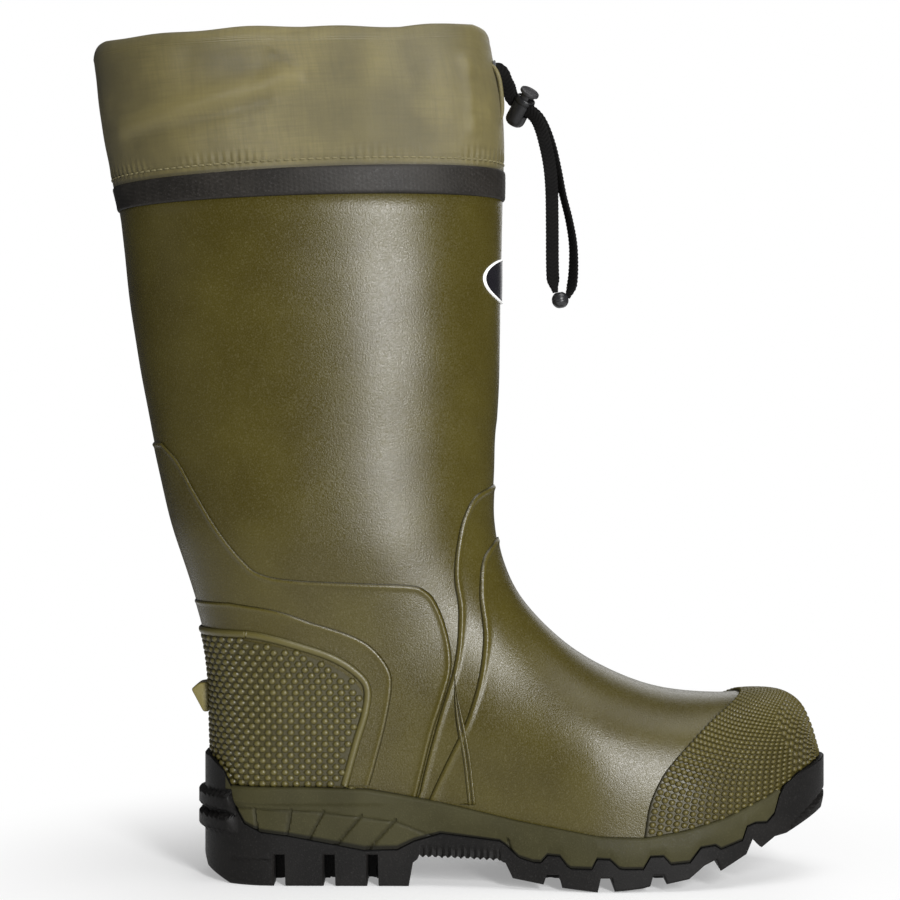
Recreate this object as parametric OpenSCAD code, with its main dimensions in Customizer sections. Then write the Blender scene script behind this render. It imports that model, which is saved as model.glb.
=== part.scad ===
// Insulated hunting boot for the right foot: rubber foot and shaft over a
// neoprene bootie, cloth collar with a flat drawcord, lugged sole.
// X points to the toe, Y to the inner (big toe) side, Z up. Millimetres.

/* [Upper] */
// Thickness of the rubber shell
rubber_t = 2.0; // [1.6:0.1:2.2]
// Thickness of the neoprene bootie
liner_t = 3.9; // [3.0:0.1:4.2]
// Thickness of one thin rubber overlay
overlay_t = 0.7; // [0.5:0.1:0.8]
// Thickness of the studded heel panel
grip_t = 1.0; // [0.8:0.1:1.2]
// Width of the raised bead around the heel panel
bead_w = 4.0; // [3.0:0.5:5.0]
// Thickness of the studded toe cap
toe_cap_t = 1.6; // [1.2:0.1:2.0]

/* [Sole] */
// How far the sole stands out past the rubber shell
sole_ledge = 5.0; // [4.6:0.1:5.5]
// Thickness of the midsole floor under the upper
floor_t = 4.5; // [4.0:0.1:5.0]
// Length of the stiffener in the waist
shank_l = 110; // [90:5:120]
// Width of the stiffener in the waist
shank_w = 22; // [18:1:26]
// Thickness of the board that the upper is lasted to
board_t = 2.4; // [2.0:0.1:2.5]
// Thickness of the foam footbed
footbed_t = 5.0; // [3.5:0.5:6.0]

/* [Collar] */
// Height of the rim at the middle of the leg
rim_z = 411.6; // [405:1:420]
// Rise of the rim per millimetre towards the toe
rim_tilt = 0.063; // [0.04:0.005:0.08]
// Height of the lower edge of the black band
band_z = 331.2; // [325:1:335]
// Height of the black band
band_h = 13.4; // [11:0.2:16]
// Thickness of the black band
band_t = 1.1; // [0.8:0.1:1.5]
// Thickness of the collar's cloth
cloth_t = 1.2; // [0.8:0.1:1.4]
// Depth of the hem that the drawcord runs in
hem_h = 27; // [22:1:30]

/* [Drawcord] */
// Width of the flat drawcord
cord_w = 6.6; // [5:0.2:6.6]
// Thickness of the flat drawcord
cord_t = 2.0; // [1.6:0.1:2.0]
// Radius of the bead that joins the cord's ends
bead_r = 4.2; // [3.5:0.1:5.0]

/* [Cord lock] */
// Radius of the cord lock's barrel
barrel_r = 5.0; // [5.0:0.1:5.5]
// Radius of the plunger's shaft
plunger_r = 3.6; // [3.4:0.1:3.6]
// Radius of the plunger's push face
button_r = 4.9; // [4.2:0.1:5.2]
// How far the plunger can be pressed
press = 2.5; // [2.0:0.1:2.5]

/* [Badge] */
// Height of the oval badge
badge_h = 22; // [16:1:26]
// Angle around the shaft from the badge's middle to its end
badge_a = 25.5; // [18:0.5:28]

/* [Hidden] */

RUBBER = [0.33, 0.31, 0.15];
RUBBER_PALE = [0.42, 0.40, 0.22];
MIDSOLE = [0.37, 0.38, 0.25];
BLACK = [0.13, 0.12, 0.12];
KHAKI = [0.59, 0.56, 0.37];
NEOPRENE = [0.16, 0.16, 0.17];

// The fan's centre: planes through it cut the instep squarely
fan_x = 130;
fan_z = 225;
// Tip of the rubber shell, and how far from it the toe starts to round
toe_x = 176.5;
toe_round = 70;
toe_l = toe_x - fan_x;
// Middle of the leg, where tilted rings keep their stated height
leg_x = -75;
// Gap that keeps glued layers from sharing a face
glue = 0.1;
// Points around half of a ring
half_n = 15;

// Side view of the rubber shell. Each row is [position, value].
REAR = [
    [20, -122], [75, -122], [105, -124], [135, -131], [175, -143.8], [215, -153],
    [255, -160], [295, -166], [330, -170], [345, -173.5], [385, -180.5], [412, -184]
];
FRONT = [[225, 18.5], [255, 20], [300, 20.5], [345, 21.5], [385, 20.5], [405, 16], [420, 13.5]];
INSTEP = [
    [0, 111.5], [10, 114.3], [16, 117.5], [24, 123.7], [33, 130.4], [42, 134.9],
    [54, 136.9], [72, 138], [90, 138]
];
VAMP = [
    [120, 87.2], [130, 87], [145, 88], [156, 87.3], [163, 84.5], [168, 79.5],
    [172, 71], [174.5, 63], [176.5, 56]
];
FEATHER = [
    [-125, 28], [-60, 27.5], [-20, 27], [20, 23], [55, 18], [85, 17.5], [110, 20],
    [130, 26], [140, 30], [150, 33], [165, 37.5], [182, 43]
];
// Half widths: outer side of the foot, inner side of the foot, and the leg
OUTER = [
    [-125, 34], [-60, 34.5], [-15, 35.5], [20, 41], [60, 49], [80, 49.5], [110, 46.5],
    [140, 41], [176, 36]
];
INNER = [
    [-125, 34], [-60, 33.5], [-20, 31], [0, 31], [30, 36.5], [65, 46.5], [90, 49.5],
    [115, 48.5], [145, 45], [176, 41]
];
LEG = [[60, 36], [110, 38], [150, 42], [225, 46.5], [300, 50], [345, 53], [412, 54.5]];
// How far in from the front and from the rear the section keeps rounding
FRONT_ROUND = [[0, 86.7], [30, 80], [60, 62], [90, 52], [140, 36]];
REAR_ROUND = [[20, 36], [70, 38], [110, 44], [150, 60], [190, 75], [225, 86.7]];

// Edges of the overlays. Level edges are [height, x]; fan edges are [angle, radius].
ANKLE_EDGE = [
    [28, -24.5], [44, -20.6], [74, -13.2], [90, -8], [105, -4.2], [121, -6], [137, -12],
    [143, -18], [145, -26], [146, -50], [147.5, -80], [150, -95], [155, -103], [170, -116],
    [190, -129], [205, -138], [214, -147]
];
VAMP_EDGE = [
    [15.9, 117.5], [16.8, 127], [20, 136.2], [24.5, 144.6], [30, 153.8], [36, 162],
    [42, 179.6], [46.7, 207.8], [50.4, 235]
];
INSTEP_EDGE = [
    [27.8, 127.6], [29.7, 137.3], [34.5, 147.3], [42.9, 163.3], [48.6, 191.7],
    [52, 238]
];
HEEL_EDGE = [
    [47.8, -43.9], [58, -41], [79, -35.7], [97, -33], [105, -34.8], [115, -42.9],
    [121, -53.5], [127, -71.8], [133, -90.3], [136, -112]
];
GRIP_EDGE = [
    [47.8, -54], [69, -48.2], [84, -43.9], [95.5, -43], [103, -48.2], [111.5, -61.7],
    [118.5, -82.8], [123, -108]
];
// Rear edge of the toe cap, as [height, x]
CAP_EDGE = [
    [26, 87.3], [41.5, 90], [53.3, 95.6], [60.7, 101.7], [68.3, 110], [78.3, 122.3], [90, 139.4]
];
// The raised bead's outer edge on one side, from the sole to the back, as [x, z]
BEAD = [
    [-54, 48], [-48.5, 68], [-44, 83], [-43, 95], [-48, 103], [-61, 111.5],
    [-82, 118.5], [-96, 121.8], [-104, 122.8]
];
// Upper edge of the sole where the upper goes in, as [x, z]
TOP_LINE = [
    [-110, 47.3], [-78, 47.5], [-46, 46.5], [-12, 40.7], [27, 32.6], [67, 26.2], [88, 25.5],
    [108, 28.7], [129, 34.1], [150, 42.6], [164, 51], [182, 59.5]
];
// Upper edge of the black outsole on the sole's side, as [x, z]
SEAM = [
    [-132, 61], [-122.6, 61], [-114.8, 54.8], [-110.6, 47.1], [-109, 38], [-104.3, 30],
    [-96.8, 26.3], [-82.9, 24.5], [-46.5, 17.7], [-30.6, 18.2], [-22.4, 22.4], [-9.8, 26.2],
    [18.7, 23.5], [21.4, 21.8], [28, 15.8], [34.5, 13.9], [38.3, 13.9], [41.3, 17.5],
    [47.3, 17.2], [50.8, 12.6], [52.5, 11.5], [62.3, 11.5], [64.7, 16.4], [71, 16.1],
    [75.3, 12], [77.5, 11.5], [86.8, 11.5], [90.2, 17.3], [96.6, 17.4], [100.2, 13.5],
    [109.2, 14.2], [114.5, 21], [121.9, 21.8], [124.8, 19.8], [135.4, 23.2], [137.7, 29.6],
    [142.1, 31.1], [148, 30.8], [151.8, 34.6], [154.6, 43.6], [157, 47.5], [165.1, 53.2],
    [176.9, 57.5], [184, 60.5]
];
// Underside of the outsole from toe to heel, as [x, z]
UNDER = [
    [184, 46], [178.5, 33], [158.6, 24], [152.4, 23], [145.7, 18.5], [141, 23.4],
    [137.5, 15.7], [125.1, 9], [122.9, 14.6], [116.4, 11.7], [109, 5.6], [98.6, 3.6],
    [97, 7.7], [91.6, 7.7], [90.2, 2.6], [86.8, 1.7], [79, 0.8], [73.6, 0.4],
    [72.2, 6.6], [66.6, 6.6], [65.2, 0], [59, 0.6], [48.6, 1.6], [47, 7.7],
    [41.2, 7.7], [39.6, 2.8], [25, 5.2], [21.5, 12.4], [18, 13.2], [-20, 13.8],
    [-23.3, 11.3], [-25.3, 0], [-39.7, 0], [-39.7, 15], [-45.5, 15], [-45.5, 0],
    [-60.5, 0], [-60.5, 15], [-66.7, 15], [-66.7, 0], [-84.6, 0], [-84.6, 15],
    [-90.9, 15], [-90.9, 0], [-112, 0], [-124, 5.5], [-132, 22]
];
// The small block at the back of the heel, as [x, z]
SPUR = [[-124.6, 80.2], [-127.4, 80], [-133.5, 91.4], [-130, 94.2], [-124.7, 95.2]];

// Cord lock: its centre, and how its barrel leans
lock_c = [31, -6, 381];
lock_polar = 41;
lock_turn = -49;
lock_spin = 18;
// Slot that the cords pass through, and the barrel's ends along its own axis
slot_z = 3.8;
slot_y = 2.6;
barrel_top = 4.6;
barrel_end = -11;
well_end = -9.5;
plunger_end = -5.3;
button_z = 7.2;
button_t = 1.8;

// Routes of the two free cord ends, as [x, y, z, twist], before and after the lock
cord_gap = 1.05;
lock_twist = -32;
NEAR_START = [[17.2, -7, 399, 0], [19, -7, 399.2, 0], [21.5, -6.8, 397, -10], [23.4, -5.8, 392, -22]];
NEAR_END = [
    [39.8, -12, 369, -24], [42.3, -13, 360, -12], [44.2, -13.4, 350, 0], [45.2, -13.4, 338, 0],
    [45.5, -13, 320, 0], [45.6, -12.4, 303, 0], [46, -11.4, 294, 0], [47.2, -10.4, 288, 10]
];
FAR_START = [[17.2, 7, 399, 0], [19, 7, 399.2, 0], [21.9, 5.6, 397, -10], [24.6, 2, 392.4, -24]];
FAR_END = [
    [41.4, -9.4, 369.6, -30], [45, -9.6, 360, -40], [48.2, -9.6, 348, -55], [51, -9.5, 336, -68],
    [54, -9.2, 324, -66], [56, -8.8, 312, -60], [56.2, -8.6, 300, -52], [55.3, -8.6, 291, -45],
    [53, -9, 285.6, -40]
];
bead_c = [49.6, -9.6, 284.3];

// ---- curves ----
function mix(a, b, t) = a + (b - a)*t;
function clamp(v, lo, hi) = min(max(v, lo), hi);
function ease(t) = let(u = clamp(t, 0, 1)) u*u*(3 - 2*u);
function row_of(table, v, i = 0) =
    i >= len(table) - 2 || v < table[i + 1][0] ? i : row_of(table, v, i + 1);
function slope(table, i) =
    let(a = table[max(i - 1, 0)], b = table[min(i + 1, len(table) - 1)])
    (b[1] - a[1])/(b[0] - a[0]);
// Smooth curve through a table
function curve(table, v) =
    let(u = clamp(v, table[0][0], table[len(table) - 1][0]), i = row_of(table, u))
    let(h = table[i + 1][0] - table[i][0], t = (u - table[i][0])/h)
    mix(table[i][1], table[i + 1][1], t*t*(3 - 2*t))
        + h*t*(1 - t)*((1 - t)*slope(table, i) - t*slope(table, i + 1));
// Rounded end of a section: 0 at the edge, 1 once t reaches 1
function cap(t, n) = t <= 0 ? 0 : t >= 1 ? 1 : pow(1 - pow(1 - t, n), 1/n);

// ---- the rubber shell's surface, moved outwards by o ----
// A section s is a level plane above the fan, a fan plane from 0 to 90 degrees,
// and an upright plane past 90. r is the distance along it from its origin.
function section_x(s, o) = fan_x + (s - 90)*(toe_l + o)/toe_l;
function spot(s, r, o) =
    s <= 0 ? [fan_x - r, fan_z - s]
    : s < 90 ? [fan_x - r*cos(s), fan_z - r*sin(s)]
    : [section_x(s, o), fan_z - r];
function leg_half(z) = (curve(FRONT, z) - curve(REAR, z))/2;
function front_r(s, o) =
    s <= 0 ? fan_x - curve(FRONT, fan_z - s) - o
    : s < 90 ? curve(INSTEP, s) - o
    : fan_z - curve(VAMP, section_x(s, o) - o) - o;
function rear_r(s, o, r = 280, n = 5) =
    n == 0 ? r : rear_r(s, o, (fan_x + o - curve(REAR, fan_z - r*sin(s)))/cos(s), n - 1);
function under_r(s, o, lift, r = 210, n = 5) =
    n == 0 ? r
    : under_r(s, o, lift, (fan_z - curve(FEATHER, fan_x - r*cos(s)) + o - lift)/sin(s), n - 1);
function back_r(s, o, lift) =
    s <= 0 ? fan_x - curve(REAR, fan_z - s) + o
    : s < 50 ? min(rear_r(s, o), s < 20 ? 1000 : under_r(s, o, lift))
    : s < 90 ? under_r(s, o, lift)
    : fan_z - curve(FEATHER, section_x(s, o)) + o - lift;
function foot_w(side, x) = curve(side < 0 ? OUTER : INNER, x);
function half_w(side, x, z) = mix(foot_w(side, x), curve(LEG, z), ease((z - 70)/100));
function toe_taper(x, o) = cap((toe_x + o - x)/(toe_round + o), 2);
function rear_taper(x, z, o) =
    let(l = z >= fan_z ? leg_half(z) : curve(REAR_ROUND, z), n = mix(2.3, 2, ease((z - 60)/120)))
    cap((x - curve(REAR, z) + o)/(l + o), n);
function front_taper(x, z, o) =
    z >= fan_z ? cap((curve(FRONT, z) + o - x)/(leg_half(z) + o), 2)
    : x <= fan_x ? let(s = atan2(fan_z - z, fan_x - x))
        cap((norm([fan_x - x, fan_z - z]) - front_r(s, o))/(curve(FRONT_ROUND, s) + o),
            mix(2, 2.4, ease(s/80)))
    : cap((curve(VAMP, x - o) + o - z)/(curve(FRONT_ROUND, 90 + x - fan_x) + o), 2.4);
function skin_y(side, x, z, o) =
    side*(half_w(side, x, z) + o)*front_taper(x, z, o)*rear_taper(x, z, o)*toe_taper(x, o);
function skin(side, x, z, o) = [x, skin_y(side, x, z, o), z];

// n angles from lo to hi, held half a step short of an end that crosses the middle
function angles(lo, hi, lo_open, hi_open, n) =
    let(step = (hi - lo)/(n - 1 + (lo_open ? 0.5 : 0) + (hi_open ? 0.5 : 0)))
    [for (i = [0 : n - 1]) lo + step*(i + (lo_open ? 0.5 : 0))];
function backwards(list) = [for (i = [len(list) - 1 : -1 : 0]) list[i]];
// Angle at which a section reaches radius r
function angle_at(s, r, lift = 0) =
    acos(clamp(1 - 2*(r - front_r(s, 0))/(back_r(s, 0, lift) - front_r(s, 0)), -1, 1));
function section_point(side, s, a, o, lift) =
    let(r = mix(front_r(s, o), back_r(s, o, lift), (1 - cos(a))/2), p = spot(s, r, o))
    skin(side, p[0], p[1], o);
// Closed ring, and an arc over the front down to angle a on both sides
function ring(s, o, lift = 0) = concat(
    [for (a = angles(0, 180, true, true, half_n)) section_point(-1, s, a, o, lift)],
    [for (a = backwards(angles(0, 180, true, true, half_n))) section_point(1, s, a, o, lift)]);
function front_arc(s, a_end, o, n) = concat(
    [for (a = backwards(angles(0, a_end, true, false, n))) section_point(1, s, a, o, 0)],
    [for (a = angles(0, a_end, true, false, n)) section_point(-1, s, a, o, 0)]);
// Arc around the heel at height z, from x = edge on both sides
function heel_arc(z, edge, o, n) =
    let(back = curve(REAR, z) - o)
    concat([for (a = angles(90, 180, false, true, n)) skin(-1, mix(edge, back, -cos(a)), z, o)],
        [for (a = backwards(angles(90, 180, false, true, n))) skin(1, mix(edge, back, -cos(a)), z, o)]);
// Ring around the leg that climbs towards the toe, from angle lo to the back and round
function leg_point(side, z, tilt, a, o) =
    let(x1 = mix(curve(FRONT, z) + o, curve(REAR, z) - o, (1 - cos(a))/2), z1 = z + tilt*(x1 - leg_x))
    let(x2 = mix(curve(FRONT, z1) + o, curve(REAR, z1) - o, (1 - cos(a))/2))
    skin(side, x2, z1, o);
function leg_ring(z, tilt, o, lo = 0) = concat(
    [for (a = angles(lo, 180, lo == 0, true, half_n)) leg_point(-1, z, tilt, a, o)],
    [for (a = backwards(angles(lo, 180, lo == 0, true, half_n))) leg_point(1, z, tilt, a, o)]);
function band_tilt(z) = mix(0.036, rim_tilt, clamp((z - band_z)/(rim_z - band_z), 0, 1));

// ---- solids between two grids of points ----
function quad(a, b, c, d) = [[a, c, b], [a, d, c]];
// outer and inner hold the same rows. closed joins each row into a ring;
// tip closes the last row into an end face.
module sheet(outer, inner, closed = false, tip = false) {
    rows = len(outer);
    n = len(outer[0]);
    far = rows*n;
    last = (rows - 1)*n;
    span = closed ? n - 1 : n - 2;
    ends = tip ? [0] : [0, 1];
    skins = [for (k = [0 : rows - 2]) for (i = [0 : span])
        let(a = k*n + i, b = k*n + (i + 1)%n)
        each concat(quad(a, b, b + n, a + n), quad(far + a, far + a + n, far + b + n, far + b))];
    first_edge = [for (i = [0 : span]) let(b = (i + 1)%n) each quad(b, i, far + i, far + b)];
    last_edge = tip ? [] : [for (i = [0 : span])
        let(a = last + i, b = last + (i + 1)%n) each quad(a, b, far + b, far + a)];
    sides = closed ? [] : [for (k = [0 : rows - 2])
        let(a = k*n, b = k*n + n - 1)
        each concat(quad(a, a + n, far + a + n, far + a), quad(b + n, b, far + b, far + b + n))];
    end_faces = !tip ? [] : [for (i = [1 : n - 2])
        each [[last, last + i + 1, last + i], [far + last, far + last + i, far + last + i + 1]]];
    tip_edge = tip && !closed ? quad(last, last + n - 1, far + last + n - 1, far + last) : [];
    polyhedron(
        [each [for (r = outer) each r], each [for (r = inner) each r]],
        concat(skins, first_edge, last_edge, sides, end_faces, tip_edge), convexity = 6);
}

// ---- sole outlines ----
// Half width of the shell near the sole, and its outline moved out by o
function plan_y(side, x, o) =
    side*(foot_w(side, x) + o)*cap((x - curve(REAR, 40) + o)/(curve(REAR_ROUND, 40) + o), 2.3)
        *toe_taper(x, o);
function plan_x(a, o, trim) = mix(curve(REAR, 40) - o, toe_x + o - trim, (1 - cos(a))/2);
module plan(o, trim = 0) {
    steps = angles(0, 180, true, true, 22);
    polygon(concat(
        [for (a = steps) [plan_x(a, o, trim), plan_y(-1, plan_x(a, o, trim), o)]],
        [for (a = backwards(steps)) [plan_x(a, o, trim), plan_y(1, plan_x(a, o, trim), o)]]));
}
// Slab with the side view given as [x, z] points, across the whole width
module side_view(points, w = 150) {
    rotate([90, 0, 0]) linear_extrude(w, center = true) polygon(points);
}
plan_steps = [-140, -60, -20, 20, 55, 85, 110, 120, 130, 135, 140, 145, 150, 165, 190];
function feather_line(rise) = [for (x = plan_steps) [x, curve(FEATHER, x) + rise]];
// Layer that follows the feather line, between two heights above it
module feather_layer(o, low, high, trim) {
    intersection() {
        linear_extrude(80) plan(o, trim);
        side_view(concat(feather_line(low), backwards(feather_line(high))));
    }
}

// ---- sole unit ----
module outsole() {
    color(BLACK) difference() {
        union() {
            intersection() {
                linear_extrude(70) plan(sole_ledge);
                side_view(concat(SEAM, UNDER));
            }
            for (z = [26, 35]) intersection() {
                translate([0, 0, z]) linear_extrude(7) plan(sole_ledge + 3);
                side_view([[-135, 20], [-108, 20], [-112, 50], [-135, 50]]);
            }
        }
        intersection() {
            linear_extrude(90) plan(1.8);
            side_view(concat(feather_line(-floor_t), [[190, 90], [-140, 90]]));
        }
        intersection() {
            linear_extrude(90) plan(third_base + grip_t + glue);
            side_view([[-140, 47], [-100, 47], [-100, 90], [-140, 90]]);
        }
        for (x = [-101, 30, 58, 82]) translate([x, -3, -1]) cube([x < 0 ? 68 : 16, 6, 8]);
    }
}
module midsole() {
    color(MIDSOLE) difference() {
        union() {
            intersection() {
                linear_extrude(70) plan(sole_ledge);
                side_view(concat([for (p = SEAM) if (p[0] > -111 && p[0] < 165) p],
                    backwards([for (p = TOP_LINE) if (p[0] < 160) p])));
            }
            feather_layer(1.7, -floor_t + glue, 0, 0);
        }
        intersection() {
            linear_extrude(90) plan(1.6);
            side_view(concat(feather_line(0), [[190, 90], [-140, 90]]));
        }
        intersection() {
            side_view(concat(feather_line(-1.7), backwards(feather_line(1))), shank_w + 0.2);
            translate([-20 - shank_l/2 - 0.1, -50, 0]) cube([shank_l + 0.2, 100, 60]);
        }
    }
}
module shank() {
    color("silver") intersection() {
        side_view(concat(feather_line(-1.6), backwards(feather_line(-glue))), shank_w);
        translate([-20 - shank_l/2, -50, 0]) cube([shank_l, 100, 60]);
    }
}
// Heights above the feather line, and insets from the shell's surface
board_z = rubber_t + 0.6;
board_inset = -rubber_t - 1.6;
liner_lift = 3;
bed_z = rubber_t + liner_t + liner_lift + 0.7;
bed_inset = -rubber_t - liner_t - 4;
module insole_board() {
    color([0.72, 0.62, 0.45]) feather_layer(board_inset, board_z, board_z + board_t, 1.6);
}
module footbed() {
    color([0.25, 0.25, 0.27]) feather_layer(bed_inset, bed_z, bed_z + footbed_t, 1.8);
}
module footbed_cover() {
    color([0.12, 0.12, 0.13])
        feather_layer(bed_inset, bed_z + footbed_t + glue, bed_z + footbed_t + 1, 1.8);
}

// ---- shells and bootie ----
leg_sections = [-75, -38, 0, 12, 22, 30, 36, 40, 45, 51];
split = 57;
foot_sections = [66, 76, 90, 103, 115, 123, 129, 133, 135];
shell_top = 337;
module leg_part(out, in, lift, top) {
    tilt = band_tilt(top);
    rows = concat(leg_sections, [split]);
    sheet(concat([leg_ring(top, tilt, out)], [for (s = rows) ring(s, out, lift)]),
        concat([leg_ring(top, tilt, in)], [for (s = rows) ring(s, in, lift)]), closed = true);
}
module foot_part(out, in, lift) {
    rows = concat([split + 0.05], foot_sections);
    sheet([for (s = rows) ring(s, out, lift)], [for (s = rows) ring(s, in, lift)],
        closed = true, tip = true);
}
module leg_shell() {
    color(RUBBER) leg_part(0, -rubber_t, 0, shell_top);
}
module vamp_shell() {
    color(RUBBER) foot_part(0, -rubber_t, 0);
}
module liner_leg() {
    color(NEOPRENE) leg_part(-rubber_t - glue, -rubber_t - liner_t, liner_lift, shell_top + 3);
}
module liner_foot() {
    color(NEOPRENE) foot_part(-rubber_t - glue, -rubber_t - liner_t, liner_lift);
}

// ---- overlays ----
first_layer = [glue, overlay_t];
second_layer = [overlay_t + glue, 2*overlay_t];
third_base = 2*overlay_t + glue;
module heel_wrap(levels, edges, layer, n) {
    sheet([for (z = levels) heel_arc(z, curve(edges, z), layer[1], n)],
        [for (z = levels) heel_arc(z, curve(edges, z), layer[0], n)]);
}
module front_wrap(sections, edges, layer, n, tip = false) {
    ends = [for (s = sections) angle_at(s, min(curve(edges, s), back_r(s, 0, 0) - 1))];
    rows = [0 : len(sections) - 1];
    sheet([for (i = rows) front_arc(sections[i], ends[i], layer[1], n)],
        [for (i = rows) front_arc(sections[i], ends[i], layer[0], n)], tip = tip);
}
module ankle_overlay() {
    levels = [214, 205, 190, 170, 155, 150, 147.5, 146, 145, 143, 137, 121, 105, 90, 74, 56, 40, 29];
    color(RUBBER) heel_wrap(levels, ANKLE_EDGE, first_layer, 9);
}
module vamp_overlay() {
    edges = concat(VAMP_EDGE, [[54, 400], [140, 400]]);
    color(RUBBER) front_wrap(
        [15.9, 17, 20, 24.5, 30, 36, 42, 46.7, 50.4, 54, 62, 74, 90, 104, 116, 126, 132],
        edges, first_layer, 11);
}
module instep_overlay() {
    edges = concat(INSTEP_EDGE, [[55, 400], [140, 400]]);
    color(RUBBER) front_wrap([27.8, 29.7, 34.5, 42.9, 48.6, 52, 56, 64, 76, 90, 104, 116, 126, 132],
        edges, second_layer, 10);
}
module ankle_strips() {
    path = [[-5, 104], [-4.3, 95], [-3, 84], [-1, 73], [1, 62], [2.2, 52], [3.5, 40]];
    strip_w = 4;
    color(RUBBER_PALE) for (side = [-1, 1])
        sheet([for (p = path) strip_row(side, p, strip_w, third_base + 0.9)],
            [for (p = path) strip_row(side, p, strip_w, third_base)]);
}
// Row across a strip that starts at p and is w wide along X
function strip_row(side, p, w, o) =
    side < 0 ? [skin(side, p[0] + w, p[1], o), skin(side, p[0], p[1], o)]
    : [skin(side, p[0], p[1], o), skin(side, p[0] + w, p[1], o)];
module heel_overlay() {
    levels = [136, 134, 131, 127, 121, 115, 105, 97, 79, 62, 48];
    color(RUBBER) heel_wrap(levels, HEEL_EDGE, second_layer, 8);
}
module heel_grip_panel() {
    levels = [118, 115.5, 111, 105, 97, 88, 76, 62, 48];
    inset = [for (p = GRIP_EDGE) [p[0] - (p[0] > 90 ? bead_w : 0), p[1] - bead_w]];
    color(RUBBER) heel_wrap(levels, inset, [third_base, third_base + grip_t], 8);
}
// One edge of the bead, moved to the inside by w: up one side, round the back, down the other
function bead_point(i, w) =
    let(a = BEAD[max(i - 1, 0)], b = BEAD[min(i + 1, len(BEAD) - 1)], d = b - a)
    BEAD[i] + w*[-d[1], d[0]]/norm(d);
function bead_path(w, o) =
    let(flank = [for (i = [0 : len(BEAD) - 2]) bead_point(i, w)], top = BEAD[len(BEAD) - 1])
    concat([for (p = flank) skin(-1, p[0], p[1], o)], heel_arc(top[1] - w, top[0], o, 6),
        [for (p = backwards(flank)) skin(1, p[0], p[1], o)]);
module heel_grip_rim() {
    color(RUBBER_PALE) sheet([for (w = [0, bead_w]) bead_path(w, third_base + 1.5)],
        [for (w = [0, bead_w]) bead_path(w, third_base)]);
}
module kick_spur() {
    color([0.51, 0.49, 0.27]) side_view(SPUR, 16);
}
// Column of the toe cap at angle a from its top, u of the way from its rear edge to the tip
function cap_point(side, u, a, o) =
    let(high = (1 + cos(a))/2, rear = curve(CAP_EDGE, mix(CAP_EDGE[0][0], 90, high)))
    let(x = mix(rear, toe_x + o - 1.2, u), low_z = curve(TOP_LINE, x) + 0.6)
    skin(side, x, mix(low_z, curve(VAMP, x - o) + o, high), o);
function cap_row(u, o) = concat(
    [for (a = backwards(angles(0, 180, true, false, 11))) cap_point(1, u, a, o)],
    [for (a = angles(0, 180, true, false, 11)) cap_point(-1, u, a, o)]);
module toe_cap() {
    steps = [0, 0.2, 0.4, 0.58, 0.73, 0.85, 0.94, 1];
    color(RUBBER_PALE) sheet([for (u = steps) cap_row(u, third_base + toe_cap_t)],
        [for (u = steps) cap_row(u, third_base)], tip = true);
}

// ---- badge ----
function badge_point(t, scale_by, o) =
    let(a = badge_a*scale_by*cos(t), z = badge_z + scale_by*badge_h/2*sin(t))
    leg_point(a < 0 ? -1 : 1, z, 0, abs(a), o);
badge_z = 294;
function badge_row(scale_by, o) = [for (t = [6 : 12 : 354]) badge_point(t, scale_by, o)];
module badge() {
    sizes = [0.92, 0.6, 0.25];
    color(BLACK) sheet([for (k = sizes) badge_row(k, 0.7)], [for (k = sizes) badge_row(k, glue)],
        closed = true, tip = true);
}
module badge_rim() {
    sizes = [1, 0.925];
    color("white") sheet([for (k = sizes) badge_row(k, 0.9)], [for (k = sizes) badge_row(k, glue)],
        closed = true);
}

// ---- band and collar ----
module leg_band(zs, tilts, out, in) {
    rows = [0 : len(zs) - 1];
    sheet([for (i = rows) leg_ring(zs[i], tilts[i], out)],
        [for (i = rows) leg_ring(zs[i], tilts[i], in)], closed = true);
}
module top_band() {
    top = band_z + band_h;
    color([0.19, 0.17, 0.17])
        leg_band([top, band_z], [0.045, 0.03], band_t + glue, glue);
}
// Cloth cuff, folded over at the rim and down inside to make the hem
module collar() {
    heights = [shell_top + 0.5, 348, 362, 378, 393, 404, rim_z - 1];
    inside = [rim_z - 1, rim_z - 12, rim_z - hem_h];
    deep = rubber_t + liner_t;
    outer = concat([for (z = heights) leg_ring(z, band_tilt(z), 0)],
        [leg_ring(rim_z, rim_tilt, -deep/2)], [for (z = inside) leg_ring(z, band_tilt(z), -deep)]);
    inner = concat([for (z = heights) leg_ring(min(z, rim_z - cloth_t - 1), band_tilt(z), -cloth_t)],
        [leg_ring(rim_z - cloth_t, rim_tilt, -deep/2)],
        [for (z = inside) leg_ring(min(z, rim_z - cloth_t - 1), band_tilt(z), cloth_t - deep)]);
    color(KHAKI) sheet(backwards(outer), backwards(inner), closed = true);
}
module collar_lining() {
    zs = [rim_z - hem_h - 0.3, 366, shell_top + 3.3];
    color(NEOPRENE) leg_band(zs, [for (z = zs) band_tilt(z)], -cloth_t - glue, -rubber_t - liner_t);
}
// Row of stitches just above the band
stitch_rise = 3.5;
module collar_stitching() {
    z = band_z + band_h + stitch_rise;
    color([0.70, 0.67, 0.48])
        leg_band([z + 0.5, z - 0.5], [band_tilt(z), band_tilt(z)], 0.5, glue);
}

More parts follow.
